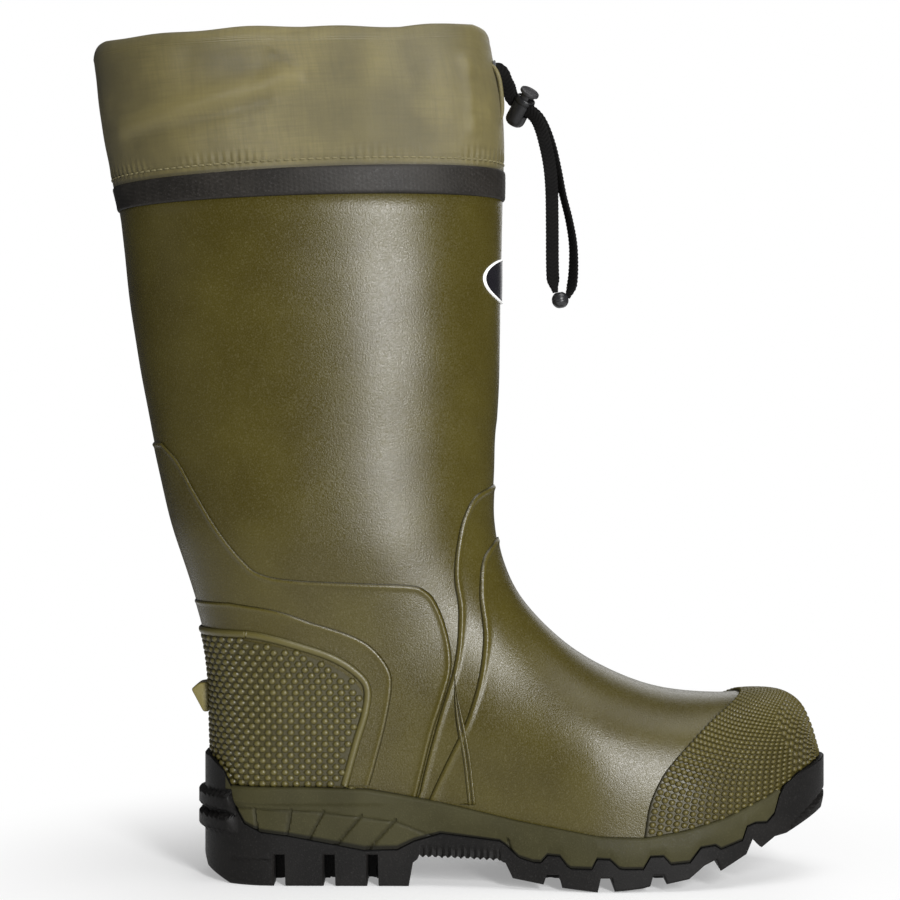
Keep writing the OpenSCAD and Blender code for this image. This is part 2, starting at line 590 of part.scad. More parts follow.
// ---- drawcord ----
hem_z = 399 - rim_tilt*(17.5 - leg_x);
module cord_outlets() {
    color(BLACK) for (y = [-7, 7]) translate([17, y, 399]) rotate([0, 90, 0])
        difference() {
            linear_extrude(1.4, center = true) outlet_shape(1.3);
            linear_extrude(2, center = true) outlet_shape(0.3);
        }
}
module outlet_shape(grow) {
    hull() for (u = [-1, 1]) translate([u*(cord_w - cord_t)/2, 0]) circle(cord_t/2 + grow, $fn = 24);
}
module drawcord_hem() {
    middle = -(rubber_t + liner_t)/2;
    zs = [hem_z + cord_w/2, hem_z - cord_w/2];
    color(BLACK) sheet([for (z = zs) leg_ring(z, rim_tilt, middle + cord_t/2, 9)],
        [for (z = zs) leg_ring(z, rim_tilt, middle - cord_t/2, 9)]);
}
// Lock's own axes in the boot's frame
function turned(v) =
    let(a = [v[0]*cos(lock_spin) - v[1]*sin(lock_spin), v[0]*sin(lock_spin) + v[1]*cos(lock_spin), v[2]])
    let(b = [a[0]*cos(lock_polar) + a[2]*sin(lock_polar), a[1], a[2]*cos(lock_polar) - a[0]*sin(lock_polar)])
    [b[0]*cos(lock_turn) - b[1]*sin(lock_turn), b[0]*sin(lock_turn) + b[1]*cos(lock_turn), b[2]];
function in_lock(along, across) = concat(lock_c + turned([along, across, 0]), lock_twist);
function near_route() = concat(NEAR_START, [for (t = [-7, 1, 9]) in_lock(t, -cord_gap)], NEAR_END);
function far_route() = concat(FAR_START, [for (t = [-7, 1, 9]) in_lock(t, cord_gap)], FAR_END);
// Smooth route: each pair of points gains two more between them
function blend4(a, b, c, d, t) =
    b + 0.5*t*(c - a + t*(2*a - 5*b + 4*c - d + t*(3*(b - c) + d - a)));
function smooth_route(p) = let(n = len(p)) concat(
    [for (i = [0 : n - 2]) for (t = [0, 1/3, 2/3])
        blend4(p[max(i - 1, 0)], p[i], p[i + 1], p[min(i + 2, n - 1)], t)], [p[n - 1]]);
function unit(v) = v/norm(v);
function first3(v) = [v[0], v[1], v[2]];
flat_section = [for (k = [[1, -0.45], [1, 0.45], [0.75, 1], [-0.75, 1], [-1, 0.45], [-1, -0.45],
    [-0.75, -1], [0.75, -1]]) [k[0]*cord_w/2, k[1]*cord_t/2]];
module flat_cord(route) {
    pts = smooth_route(route);
    n = len(pts);
    m = len(flat_section);
    rings = [for (i = [0 : n - 1])
        let(t = unit(first3(pts[min(i + 1, n - 1)]) - first3(pts[max(i - 1, 0)])))
        let(w = unit(cross(t, [0, 1, 0])), v = cross(w, t), a = pts[i][3])
        [for (q = flat_section)
            first3(pts[i]) + q[0]*(w*cos(a) + v*sin(a)) + q[1]*(v*cos(a) - w*sin(a))]];
    walls = [for (k = [0 : n - 2]) for (i = [0 : m - 1])
        let(a = k*m + i, b = k*m + (i + 1)%m) each quad(b, a, a + m, b + m)];
    caps = [for (i = [1 : m - 2]) each
        [[0, i + 1, i], [(n - 1)*m, (n - 1)*m + i, (n - 1)*m + i + 1]]];
    polyhedron([for (r = rings) each r], concat(walls, caps), convexity = 8);
}
module drawcord_near() {
    color(BLACK) flat_cord(near_route());
}
module drawcord_far() {
    color(BLACK) flat_cord(far_route());
}
module cord_end() {
    color(BLACK) translate(bead_c) sphere(bead_r, $fn = 40);
}

// ---- cord lock ----
module in_lock_frame() {
    translate(lock_c) rotate([0, 0, lock_turn]) rotate([0, lock_polar, 0]) rotate([0, 0, lock_spin])
        children();
}
module slot(top) {
    translate([-10, -slot_y, -slot_z]) cube([20, 2*slot_y, slot_z + top]);
}
module lock_barrel() {
    color(BLACK) in_lock_frame() difference() {
        rotate_extrude($fn = 48) polygon([
            [0, barrel_end], [barrel_r - 2, barrel_end], [barrel_r - 0.7, barrel_end + 0.7],
            [barrel_r, barrel_end + 2], [barrel_r, barrel_top], [0, barrel_top]]);
        translate([0, 0, well_end]) cylinder(h = 20, r = plunger_r + 0.15, $fn = 48);
        slot(slot_z);
    }
}
module lock_plunger() {
    color([0.2, 0.19, 0.19]) in_lock_frame() difference() {
        union() {
            translate([0, 0, plunger_end])
                cylinder(h = button_z - plunger_end + 0.2, r = plunger_r, $fn = 48);
            translate([0, 0, button_z])
                cylinder(h = button_t, r = button_r, $fn = 48);
        }
        slot(slot_z + press);
    }
}
spring_turns = 3;
spring_steps = 10;
spring_wire = 0.3;
module lock_spring() {
    low = well_end + spring_wire + 0.05;
    high = plunger_end - spring_wire - 0.05;
    n = spring_turns*spring_steps;
    pts = [for (i = [0 : n]) let(a = 360*i/spring_steps)
        [2.6*cos(a), 2.6*sin(a), mix(low, high, i/n)]];
    color("silver") in_lock_frame() coil(pts, spring_wire);
}
// Round wire through points around the local Z axis
module coil(pts, r) {
    m = 8;
    n = len(pts);
    rings = [for (p = pts) let(out = unit([p[0], p[1], 0]))
        [for (i = [0 : m - 1]) p + r*(out*cos(360*i/m) + [0, 0, 1]*sin(360*i/m))]];
    walls = [for (k = [0 : n - 2]) for (i = [0 : m - 1])
        let(a = k*m + i, b = k*m + (i + 1)%m) each quad(a, a + m, b + m, b)];
    caps = [for (i = [1 : m - 2]) each
        [[0, i, i + 1], [(n - 1)*m, (n - 1)*m + i + 1, (n - 1)*m + i]]];
    polyhedron([for (q = rings) each q], concat(walls, caps), convexity = 8);
}

outsole();
midsole();
shank();
insole_board();
footbed();
footbed_cover();
leg_shell();
vamp_shell();
liner_leg();
liner_foot();
ankle_overlay();
vamp_overlay();
instep_overlay();
ankle_strips();
heel_overlay();
heel_grip_panel();
heel_grip_rim();
kick_spur();
toe_cap();
badge();
badge_rim();
top_band();
collar();
collar_lining();
collar_stitching();
cord_outlets();
drawcord_hem();
drawcord_near();
drawcord_far();
cord_end();
lock_barrel();
lock_plunger();
lock_spring();
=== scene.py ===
"""Looks of an insulated rubber hunting boot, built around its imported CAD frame.

Shapes are worked out in millimetres, in the CAD's own frame, and become metres in add_mesh.
"""

import math

import bmesh
import bpy
import numpy as np
from mathutils import Matrix, Vector
from mathutils.kdtree import KDTree


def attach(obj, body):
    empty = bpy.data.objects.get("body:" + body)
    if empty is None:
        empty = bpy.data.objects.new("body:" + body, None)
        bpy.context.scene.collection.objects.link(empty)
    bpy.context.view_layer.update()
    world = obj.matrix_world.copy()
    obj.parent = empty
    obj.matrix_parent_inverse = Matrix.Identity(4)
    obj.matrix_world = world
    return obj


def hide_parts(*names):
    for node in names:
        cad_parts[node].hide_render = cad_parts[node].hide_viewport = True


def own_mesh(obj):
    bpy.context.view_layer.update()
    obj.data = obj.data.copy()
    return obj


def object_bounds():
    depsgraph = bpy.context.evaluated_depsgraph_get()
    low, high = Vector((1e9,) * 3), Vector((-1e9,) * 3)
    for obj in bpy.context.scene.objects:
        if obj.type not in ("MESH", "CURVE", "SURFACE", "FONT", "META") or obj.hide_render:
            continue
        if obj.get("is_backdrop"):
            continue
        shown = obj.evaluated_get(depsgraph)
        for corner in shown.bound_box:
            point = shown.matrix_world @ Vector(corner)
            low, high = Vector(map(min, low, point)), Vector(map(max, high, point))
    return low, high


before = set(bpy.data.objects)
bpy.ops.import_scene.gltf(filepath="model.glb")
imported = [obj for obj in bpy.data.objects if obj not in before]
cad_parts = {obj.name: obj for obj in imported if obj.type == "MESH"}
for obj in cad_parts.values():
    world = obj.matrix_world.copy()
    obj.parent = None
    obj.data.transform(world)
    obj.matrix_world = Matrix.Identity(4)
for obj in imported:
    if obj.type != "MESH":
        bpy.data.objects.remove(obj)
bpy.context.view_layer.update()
MM = 0.001

# ---- the boot's surface, as in the part's source ----
RUBBER_T = 2.0
LINER_T = 3.9
OVERLAY_T = 0.7
GLUE = 0.1
BEAD_W = 4.0
SOLE_LEDGE = 5.0
RIM_Z = 411.6
RIM_TILT = 0.063
BAND_Z = 331.2
BAND_H = 13.4
CLOTH_T = 1.2
HEM_H = 27
SHELL_TOP = 337
CORD_W = 6.6
CORD_T = 2.0
FAN_X = 130
FAN_Z = 225
TOE_X = 176.5
TOE_ROUND = 70
TOE_L = TOE_X - FAN_X
LEG_X = -75
SPLIT = 57
THIRD_BASE = 2 * OVERLAY_T + GLUE
REAR = [
    [20, -122], [75, -122], [105, -124], [135, -131], [175, -143.8], [215, -153],
    [255, -160], [295, -166], [330, -170], [345, -173.5], [385, -180.5], [412, -184],
]
FRONT = [[225, 18.5], [255, 20], [300, 20.5], [345, 21.5], [385, 20.5], [405, 16], [420, 13.5]]
INSTEP = [
    [0, 111.5], [10, 114.3], [16, 117.5], [24, 123.7], [33, 130.4], [42, 134.9],
    [54, 136.9], [72, 138], [90, 138],
]
VAMP = [
    [120, 87.2], [130, 87], [145, 88], [156, 87.3], [163, 84.5], [168, 79.5],
    [172, 71], [174.5, 63], [176.5, 56],
]
FEATHER = [
    [-125, 28], [-60, 27.5], [-20, 27], [20, 23], [55, 18], [85, 17.5], [110, 20],
    [130, 26], [140, 30], [150, 33], [165, 37.5], [182, 43],
]
OUTER = [
    [-125, 34], [-60, 34.5], [-15, 35.5], [20, 41], [60, 49], [80, 49.5], [110, 46.5],
    [140, 41], [176, 36],
]
INNER = [
    [-125, 34], [-60, 33.5], [-20, 31], [0, 31], [30, 36.5], [65, 46.5], [90, 49.5],
    [115, 48.5], [145, 45], [176, 41],
]
LEG = [[60, 36], [110, 38], [150, 42], [225, 46.5], [300, 50], [345, 53], [412, 54.5]]
FRONT_ROUND = [[0, 86.7], [30, 80], [60, 62], [90, 52], [140, 36]]
REAR_ROUND = [[20, 36], [70, 38], [110, 44], [150, 60], [190, 75], [225, 86.7]]
# Edges of the overlays: level edges are [height, x], fan edges are [angle, radius]
ANKLE_EDGE = [
    [28, -24.5], [44, -20.6], [74, -13.2], [90, -8], [105, -4.2], [121, -6], [137, -12],
    [143, -18], [145, -26], [146, -50], [147.5, -80], [150, -95], [155, -103], [170, -116],
    [190, -129], [205, -138], [214, -147],
]
VAMP_EDGE = [
    [15.9, 117.5], [16.8, 127], [20, 136.2], [24.5, 144.6], [30, 153.8], [36, 162],
    [42, 179.6], [46.7, 207.8], [50.4, 235],
]
INSTEP_EDGE = [
    [27.8, 127.6], [29.7, 137.3], [34.5, 147.3], [42.9, 163.3], [48.6, 191.7], [52, 238],
]
HEEL_EDGE = [
    [47.8, -43.9], [58, -41], [79, -35.7], [97, -33], [105, -34.8], [115, -42.9],
    [121, -53.5], [127, -71.8], [133, -90.3], [136, -112],
]
GRIP_EDGE = [
    [47.8, -54], [69, -48.2], [84, -43.9], [95.5, -43], [103, -48.2], [111.5, -61.7],
    [118.5, -82.8], [123, -108],
]
CAP_EDGE = [
    [26, 87.3], [41.5, 90], [53.3, 95.6], [60.7, 101.7], [68.3, 110], [78.3, 122.3], [90, 139.4],
]
BEAD = [
    [-54, 48], [-48.5, 68], [-44, 83], [-43, 95], [-48, 103], [-61, 111.5],
    [-82, 118.5], [-96, 121.8], [-104, 122.8],
]
STRIP = [[-5, 104], [-4.3, 95], [-3, 84], [-1, 73], [1, 62], [2.2, 52], [3.5, 40]]
TOP_LINE = [
    [-110, 47.3], [-78, 47.5], [-46, 46.5], [-12, 40.7], [27, 32.6], [67, 26.2], [88, 25.5],
    [108, 28.7], [129, 34.1], [150, 42.6], [164, 51], [182, 59.5],
]
SEAM = [
    [-132, 61], [-122.6, 61], [-114.8, 54.8], [-110.6, 47.1], [-109, 38], [-104.3, 30],
    [-96.8, 26.3], [-82.9, 24.5], [-46.5, 17.7], [-30.6, 18.2], [-22.4, 22.4], [-9.8, 26.2],
    [18.7, 23.5], [21.4, 21.8], [28, 15.8], [34.5, 13.9], [38.3, 13.9], [41.3, 17.5],
    [47.3, 17.2], [50.8, 12.6], [52.5, 11.5], [62.3, 11.5], [64.7, 16.4], [71, 16.1],
    [75.3, 12], [77.5, 11.5], [86.8, 11.5], [90.2, 17.3], [96.6, 17.4], [100.2, 13.5],
    [109.2, 14.2], [114.5, 21], [121.9, 21.8], [124.8, 19.8], [135.4, 23.2], [137.7, 29.6],
    [142.1, 31.1], [148, 30.8], [151.8, 34.6], [154.6, 43.6], [157, 47.5], [165.1, 53.2],
    [176.9, 57.5], [184, 60.5],
]
UNDER = [
    [-132, 22], [-124, 5.5], [-112, 0], [-90.9, 0], [-90.6, 15], [-84.6, 15],
    [-84.3, 0], [-66.7, 0], [-66.4, 15], [-60.5, 15], [-60.2, 0], [-45.5, 0],
    [-45.2, 15], [-39.7, 15], [-39.4, 0], [-25.3, 0], [-23.3, 11.3], [-20, 13.8],
    [18, 13.2], [21.5, 12.4], [25, 5.2], [39.6, 2.8], [41.2, 7.7], [47, 7.7],
    [48.6, 1.6], [59, 0.6], [65.2, 0], [66.6, 6.6], [72.2, 6.6], [73.6, 0.4],
    [79, 0.8], [86.8, 1.7], [90.2, 2.6], [91.6, 7.7], [97, 7.7], [98.6, 3.6],
    [109, 5.6], [116.4, 11.7], [122.9, 14.6], [125.1, 9], [137.5, 15.7], [141, 23.4],
    [145.7, 18.5], [152.4, 23], [158.6, 24], [178.5, 33], [184, 46],
]


def mix(a, b, t):
    return a + (b - a) * t


def ease(t):
    u = np.clip(t, 0, 1)
    return u * u * (3 - 2 * u)


def curve(table, v):
    """Smooth curve through a table of [position, value]."""
    xs, ys = np.array(table, float).T
    n = len(xs)
    v = np.clip(v, xs[0], xs[-1])
    i = np.clip(np.searchsorted(xs, v, side="right") - 1, 0, n - 2)
    low, high = np.maximum(np.arange(n) - 1, 0), np.minimum(np.arange(n) + 1, n - 1)
    m = (ys[high] - ys[low]) / (xs[high] - xs[low])
    h = xs[i + 1] - xs[i]
    t = (v - xs[i]) / h
    return mix(ys[i], ys[i + 1], t * t * (3 - 2 * t)) + h * t * (1 - t) * ((1 - t) * m[i] - t * m[i + 1])


def straight(table, v):
    """Straight lines through a table of [position, value]."""
    xs, ys = np.array(table, float).T
    return np.interp(v, xs, ys)


def cap(t, n):
    """Rounded end of a section: 0 at its edge, 1 once t reaches 1."""
    return np.power(1 - np.power(1 - np.clip(t, 0, 1), n), 1 / n)


def section_x(s, o):
    return FAN_X + (s - 90) * (TOE_L + o) / TOE_L


def leg_half(z):
    return (curve(FRONT, z) - curve(REAR, z)) / 2


def front_r(s, o):
    level = FAN_X - curve(FRONT, FAN_Z - s) - o
    upright = FAN_Z - curve(VAMP, section_x(s, o) - o) - o
    return np.where(s <= 0, level, np.where(s < 90, curve(INSTEP, s) - o, upright))


def back_r(s, o, lift=0):
    level = FAN_X - curve(REAR, FAN_Z - s) + o
    a = np.radians(np.clip(s, 0, 60))
    rear = 280 + 0 * (s + o)
    for _ in range(6):
        rear = (FAN_X + o - curve(REAR, FAN_Z - rear * np.sin(a))) / np.cos(a)
    b = np.radians(np.clip(s, 20, 90))
    under = 210 + 0 * (s + o)
    for _ in range(6):
        under = (FAN_Z - curve(FEATHER, FAN_X - under * np.cos(b)) + o - lift) / np.sin(b)
    upright = FAN_Z - curve(FEATHER, section_x(s, o)) + o - lift
    fan = np.where(s < 20, rear, np.where(s < 50, np.minimum(rear, under), under))
    return np.where(s <= 0, level, np.where(s < 90, fan, upright))


def foot_w(side, x):
    return np.where(side < 0, curve(OUTER, x), curve(INNER, x))


def toe_taper(x, o):
    return cap((TOE_X + o - x) / (TOE_ROUND + o), 2)


def skin(side, x, z, o):
    """Point of the shell's surface moved outwards by o."""
    width = mix(foot_w(side, x), curve(LEG, z), ease((z - 70) / 100)) + o
    length = np.where(z >= FAN_Z, leg_half(z), curve(REAR_ROUND, z))
    rear = cap((x - curve(REAR, z) + o) / (length + o), mix(2.3, 2, ease((z - 60) / 120)))
    s = np.degrees(np.arctan2(FAN_Z - z, FAN_X - x))
    above = cap((curve(FRONT, z) + o - x) / (leg_half(z) + o), 2)
    reach = np.hypot(FAN_X - x, FAN_Z - z) - curve(INSTEP, s) + o
    fan = cap(reach / (curve(FRONT_ROUND, s) + o), mix(2, 2.4, ease(s / 80)))
    toe = cap((curve(VAMP, x - o) + o - z) / (curve(FRONT_ROUND, 90 + x - FAN_X) + o), 2.4)
    front = np.where(z >= FAN_Z, above, np.where(x <= FAN_X, fan, toe))
    y = side * width * front * rear * toe_taper(x, o)
    return np.stack(np.broadcast_arrays(x, y, z), axis=-1)


def section_point(side, s, a, o, lift=0):
    """Point of the section s at angle a from its front."""
    r = mix(front_r(s, o), back_r(s, o, lift), (1 - np.cos(np.radians(a))) / 2)
    b = np.radians(np.clip(s, 0, 90))
    x = np.where(s <= 0, FAN_X - r, np.where(s < 90, FAN_X - r * np.cos(b), section_x(s, o)))
    z = np.where(s <= 0, FAN_Z - s, np.where(s < 90, FAN_Z - r * np.sin(b), FAN_Z - r))
    return skin(side, x, z, o)


def leg_point(side, z, tilt, a, o):
    """Point of a ring round the leg that climbs towards the toe."""
    t = (1 - np.cos(np.radians(a))) / 2
    x = mix(curve(FRONT, z) + o, curve(REAR, z) - o, t)
    high = z + tilt * (x - LEG_X)
    x = mix(curve(FRONT, high) + o, curve(REAR, high) - o, t)
    return skin(side, x, high, o)


def band_tilt(z):
    return mix(0.036, RIM_TILT, np.clip((z - BAND_Z) / (RIM_Z - BAND_Z), 0, 1))


def half_steps(n):
    """n angles over half a ring, half a step short of both middles."""
    return (np.arange(n) + 0.5) * 180 / n


def ring_columns(n):
    """Sides and angles of a closed ring."""
    a = half_steps(n)
    return np.concatenate([-np.ones(n), np.ones(n)]), np.concatenate([a, a[::-1]])


def dents(p):
    """Slow unevenness of a dipped rubber surface."""
    x, y, z = p[..., 0], p[..., 1], p[..., 2]
    slow = np.sin(0.031 * x + 0.021 * z + 0.02 * y + 0.8) * np.sin(0.043 * z - 0.017 * x + 0.015 * y)
    small = np.sin(0.09 * z + 0.05 * x + 1) * np.sin(0.11 * x - 0.07 * z + 0.05 * y)
    hold = ease((z - 55) / 30) * ease((322 - z) / 25)
    return (0.45 * slow + 0.13 * small) * hold


# ---- meshes ----
def grid_faces(rows, cols, closed=False):
    i = np.arange(rows - 1)[:, None] * cols
    j = np.arange(cols if closed else cols - 1)[None, :]
    a, b = i + j, i + (j + 1) % cols
    return np.stack([a, b, b + cols, a + cols], axis=-1).reshape(-1, 4)


def shell(outer, inner, closed=True):
    """Points and faces of a wall between two grids."""
    rows, cols = outer.shape[:2]
    far, last = rows * cols, (rows - 1) * cols
    j = np.arange(cols if closed else cols - 1)
    k = (j + 1) % cols
    skins = grid_faces(rows, cols, closed)
    first = np.stack([k, j, j + far, k + far], axis=-1)
    end = np.stack([j, k, k + far, j + far], axis=-1) + last
    faces = [skins, skins[:, ::-1] + far, first, end]
    if not closed:
        a = np.arange(rows - 1) * cols
        b = a + cols - 1
        faces.append(np.stack([a, a + cols, a + cols + far, a + far], axis=-1))
        faces.append(np.stack([b + cols, b, b + far, b + cols + far], axis=-1))
    return np.concatenate([outer.reshape(-1, 3), inner.reshape(-1, 3)]), np.concatenate(faces)


def facing_out(points, faces):
    """The faces, turned over where most look inwards."""
    p = points[faces]
    normal = np.cross(p[:, 2] - p[:, 0], p[:, -1] - p[:, 1])
    out = (normal * (p.mean(axis=1) - points.mean(axis=0))).sum()
    return faces if out > 0 else faces[:, ::-1]


def add_mesh(name, points, faces, finish, body="boot", stands_for=(), sharp=None, **marks):
    """A piece from points in millimetres. marks are values per point that its finish reads."""
    points = np.asarray(points, float).reshape(-1, 3)
    mesh = bpy.data.meshes.new(name)
    mesh.from_pydata((points * MM).tolist(), [], facing_out(points, np.asarray(faces)).tolist())
    for mark, value in marks.items():
        kind = "FLOAT" if np.ndim(value) == 1 else "FLOAT_VECTOR"
        at = mesh.attributes.new(mark, kind, "POINT")
        at.data.foreach_set("value" if kind == "FLOAT" else "vector", np.asarray(value, np.float32).ravel())
    mesh.shade_smooth()
    if sharp:
        mesh.set_sharp_from_angle(angle=math.radians(sharp))
    piece = bpy.data.objects.new(name, mesh)
    bpy.context.scene.collection.objects.link(piece)
    mesh.materials.append(FINISHES[finish])
    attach(piece, body)
    if stands_for:
        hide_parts(*stands_for)
    return piece


def add_grid(name, grid, finish, stands_for, closed=False, **marks):
    return add_mesh(name, grid, grid_faces(*grid.shape[:2], closed), finish, stands_for=stands_for, **marks)


def add_joined(name, points, faces, finish, stands_for, **marks):
    """One piece from lists of parts, whose faces already count through all the points."""
    points = np.concatenate(points)
    return add_mesh(name, points, np.concatenate(faces), finish, stands_for=stands_for, **marks)


def weld(piece, gap=0.01):
    work = bmesh.new()
    work.from_mesh(piece.data)
    bmesh.ops.remove_doubles(work, verts=work.verts, dist=gap * MM)
    work.to_mesh(piece.data)
    work.free()


def resample(line, step):
    """Points about step apart along a line."""
    line = np.asarray(line, float)
    along = np.concatenate([[0], np.cumsum(np.linalg.norm(np.diff(line, axis=0), axis=1))])
    at = np.linspace(0, along[-1], max(2, math.ceil(along[-1] / step) + 1))
    return np.stack([np.interp(at, along, line[:, k]) for k in range(line.shape[1])], axis=1)


def distance_to(points, line):
    """How far each point is from a line."""
    fine = resample(line, 0.12)
    tree = KDTree(len(fine))
    for i, p in enumerate(fine):
        tree.insert(p, i)
    tree.balance()
    flat = points.reshape(-1, 3)
    return np.array([tree.find(p)[2] for p in flat.tolist()]).reshape(points.shape[:-1])


def unit(v):
    return v / np.maximum(np.linalg.norm(v, axis=-1, keepdims=True), 1e-12)


def tube_rings(path, section, up=(0, 1, 0), closed=False):
    """Rings of a section of [across, along up] pairs, swept along a path."""
    path = np.asarray(path, float)
    if closed:
        t = unit(np.roll(path, -1, axis=0) - np.roll(path, 1, axis=0))
    else:
        t = unit(np.gradient(path, axis=0))
    w = unit(np.cross(t, np.broadcast_to(up, t.shape)))
    v = np.cross(w, t)
    section = np.asarray(section, float)
    return path[:, None] + w[:, None] * section[None, :, :1] + v[:, None] * section[None, :, 1:]


def round_section(r, n=10, flat=1.0):
    a = np.arange(n) * 2 * np.pi / n
    return np.stack([r * np.cos(a), r * flat * np.sin(a)], axis=1)


def capped(rings, around_closed=False):
    """Points and faces of a swept tube, its ends closed with small fans of quads."""
    rows, cols = rings.shape[:2]
    if around_closed:
        rings = np.concatenate([rings, rings[:1]])
        return rings.reshape(-1, 3), grid_faces(rows + 1, cols, True)
    middle0 = np.broadcast_to(rings[:1].mean(axis=1, keepdims=True), (1, cols, 3))
    middle1 = np.broadcast_to(rings[-1:].mean(axis=1, keepdims=True), (1, cols, 3))
    rings = np.concatenate([middle0, rings, middle1])
    return rings.reshape(-1, 3), grid_faces(rows + 2, cols, True)


def lathe(profile, n=64):
    """Points and faces of [radius, height] pairs turned about the local Z axis."""
    profile = np.asarray(profile, float)
    a = np.arange(n) * 2 * np.pi / n
    x = profile[:, :1] * np.cos(a)
    y = profile[:, :1] * np.sin(a)
    z = np.broadcast_to(profile[:, 1:], x.shape)
    return np.stack([x, y, z], axis=-1).reshape(-1, 3), grid_faces(len(profile), n, True)


# ---- finishes ----
def finish(name, main, second, rough, patch=45, grain=1300, push=0.25, fleck=None, fleck_amount=0.0,
           dark=0.3, light=1.7, metal=0.0, sheen=0.0, coat=0.0, shine=0.5, rough_span=0.12, weave=False):
    """A procedural material: patches of two tones, flecks, fine grain, painted shade in crevices and painted
    highlights on ridges and edges.
    """
    made = bpy.data.materials.new(name)
    made.use_nodes = True
    tree = made.node_tree
    link = tree.links.new
    shader = next(n for n in tree.nodes if n.type == "BSDF_PRINCIPLED")
    shader.inputs["Metallic"].default_value = metal
    shader.inputs["Sheen Weight"].default_value = sheen
    shader.inputs["Sheen Roughness"].default_value = 0.6
    shader.inputs["Coat Weight"].default_value = coat
    shader.inputs["Specular IOR Level"].default_value = shine
    shader.inputs["Coat Roughness"].default_value = 0.35

    def node(kind, **values):
        n = tree.nodes.new(kind)
        for key, value in values.items():
            n.inputs[key].default_value = value
        return n

    def blend(factor, a, b):
        n = tree.nodes.new("ShaderNodeMix")
        n.data_type = "RGBA"
        for socket, value in ((n.inputs[0], factor), (n.inputs[6], a), (n.inputs[7], b)):
            if isinstance(value, bpy.types.NodeSocket):
                link(value, socket)
            else:
                socket.default_value = value
        return n.outputs[2]

    def ramp(value, low, high, out_low, out_high):
        span = {"From Min": low, "From Max": high, "To Min": out_low, "To Max": out_high}
        n = node("ShaderNodeMapRange", **span)
        link(value, n.inputs["Value"])
        return n.outputs["Result"]

    def mark(attribute):
        n = tree.nodes.new("ShaderNodeAttribute")
        n.attribute_name = attribute
        return n

    place = tree.nodes.new("ShaderNodeTexCoord").outputs["Object"]
    wide = node("ShaderNodeTexNoise", Scale=patch, Detail=3.0, Roughness=0.55)
    fine = node("ShaderNodeTexNoise", Scale=grain, Detail=3.0, Roughness=0.6)
    link(place, wide.inputs["Vector"])
    link(place, fine.inputs["Vector"])
    tone = lambda c, k=1.0: (c[0] * k, c[1] * k, c[2] * k, 1)
    colour = blend(ramp(wide.outputs["Fac"], 0.35, 0.65, 0, 1), tone(main), tone(second))
    if fleck:
        colour = blend(ramp(fine.outputs["Fac"], 0.55, 0.72, 0, fleck_amount), colour, tone(fleck))
    height = fine.outputs["Fac"]
    if weave:
        cloth = mark("cloth").outputs["Vector"]
        threads = []
        for direction, stretch in (("X", (0.5, 9, 1)), ("Y", (9, 0.5, 1))):
            wave = node("ShaderNodeTexWave", Scale=1.1, Distortion=0.6, Detail=1.0)
            wave.bands_direction = direction
            link(cloth, wave.inputs["Vector"])
            threads.append(wave.outputs["Fac"])
            slub = node("ShaderNodeTexNoise", Scale=0.09, Detail=3.0, Roughness=0.6)
            spread = node("ShaderNodeMapping", Scale=stretch)
            link(cloth, spread.inputs["Vector"])
            link(spread.outputs["Vector"], slub.inputs["Vector"])
            colour = blend(ramp(slub.outputs["Fac"], 0.4, 0.7, 0, 0.35), colour, tone(second, 0.72))
        weft = tree.nodes.new("ShaderNodeMath")
        weft.operation = "MULTIPLY"
        link(threads[0], weft.inputs[0])
        link(threads[1], weft.inputs[1])
        height = weft.outputs["Value"]
        # Painted shade in the low gaps between the threads
        colour = blend(ramp(height, 0, 1, 0.22, 0), colour, tone(main, 0.45))
    # Painted shade from the per-point shade mark, and a painted highlight from the per-point highlight mark
    colour = blend(mark("crevice").outputs["Fac"], colour, tone(main, dark))
    colour = blend(mark("wear").outputs["Fac"], colour, tone(second, light))
    link(colour, shader.inputs["Base Color"])
    roughness = ramp(fine.outputs["Fac"], 0.3, 0.7, rough - rough_span, rough + rough_span)
    link(roughness, shader.inputs["Roughness"])
    bump = node("ShaderNodeBump", Strength=push, Distance=0.0004)
    link(height, bump.inputs["Height"])
    link(bump.outputs["Normal"], shader.inputs["Normal"])
    return made


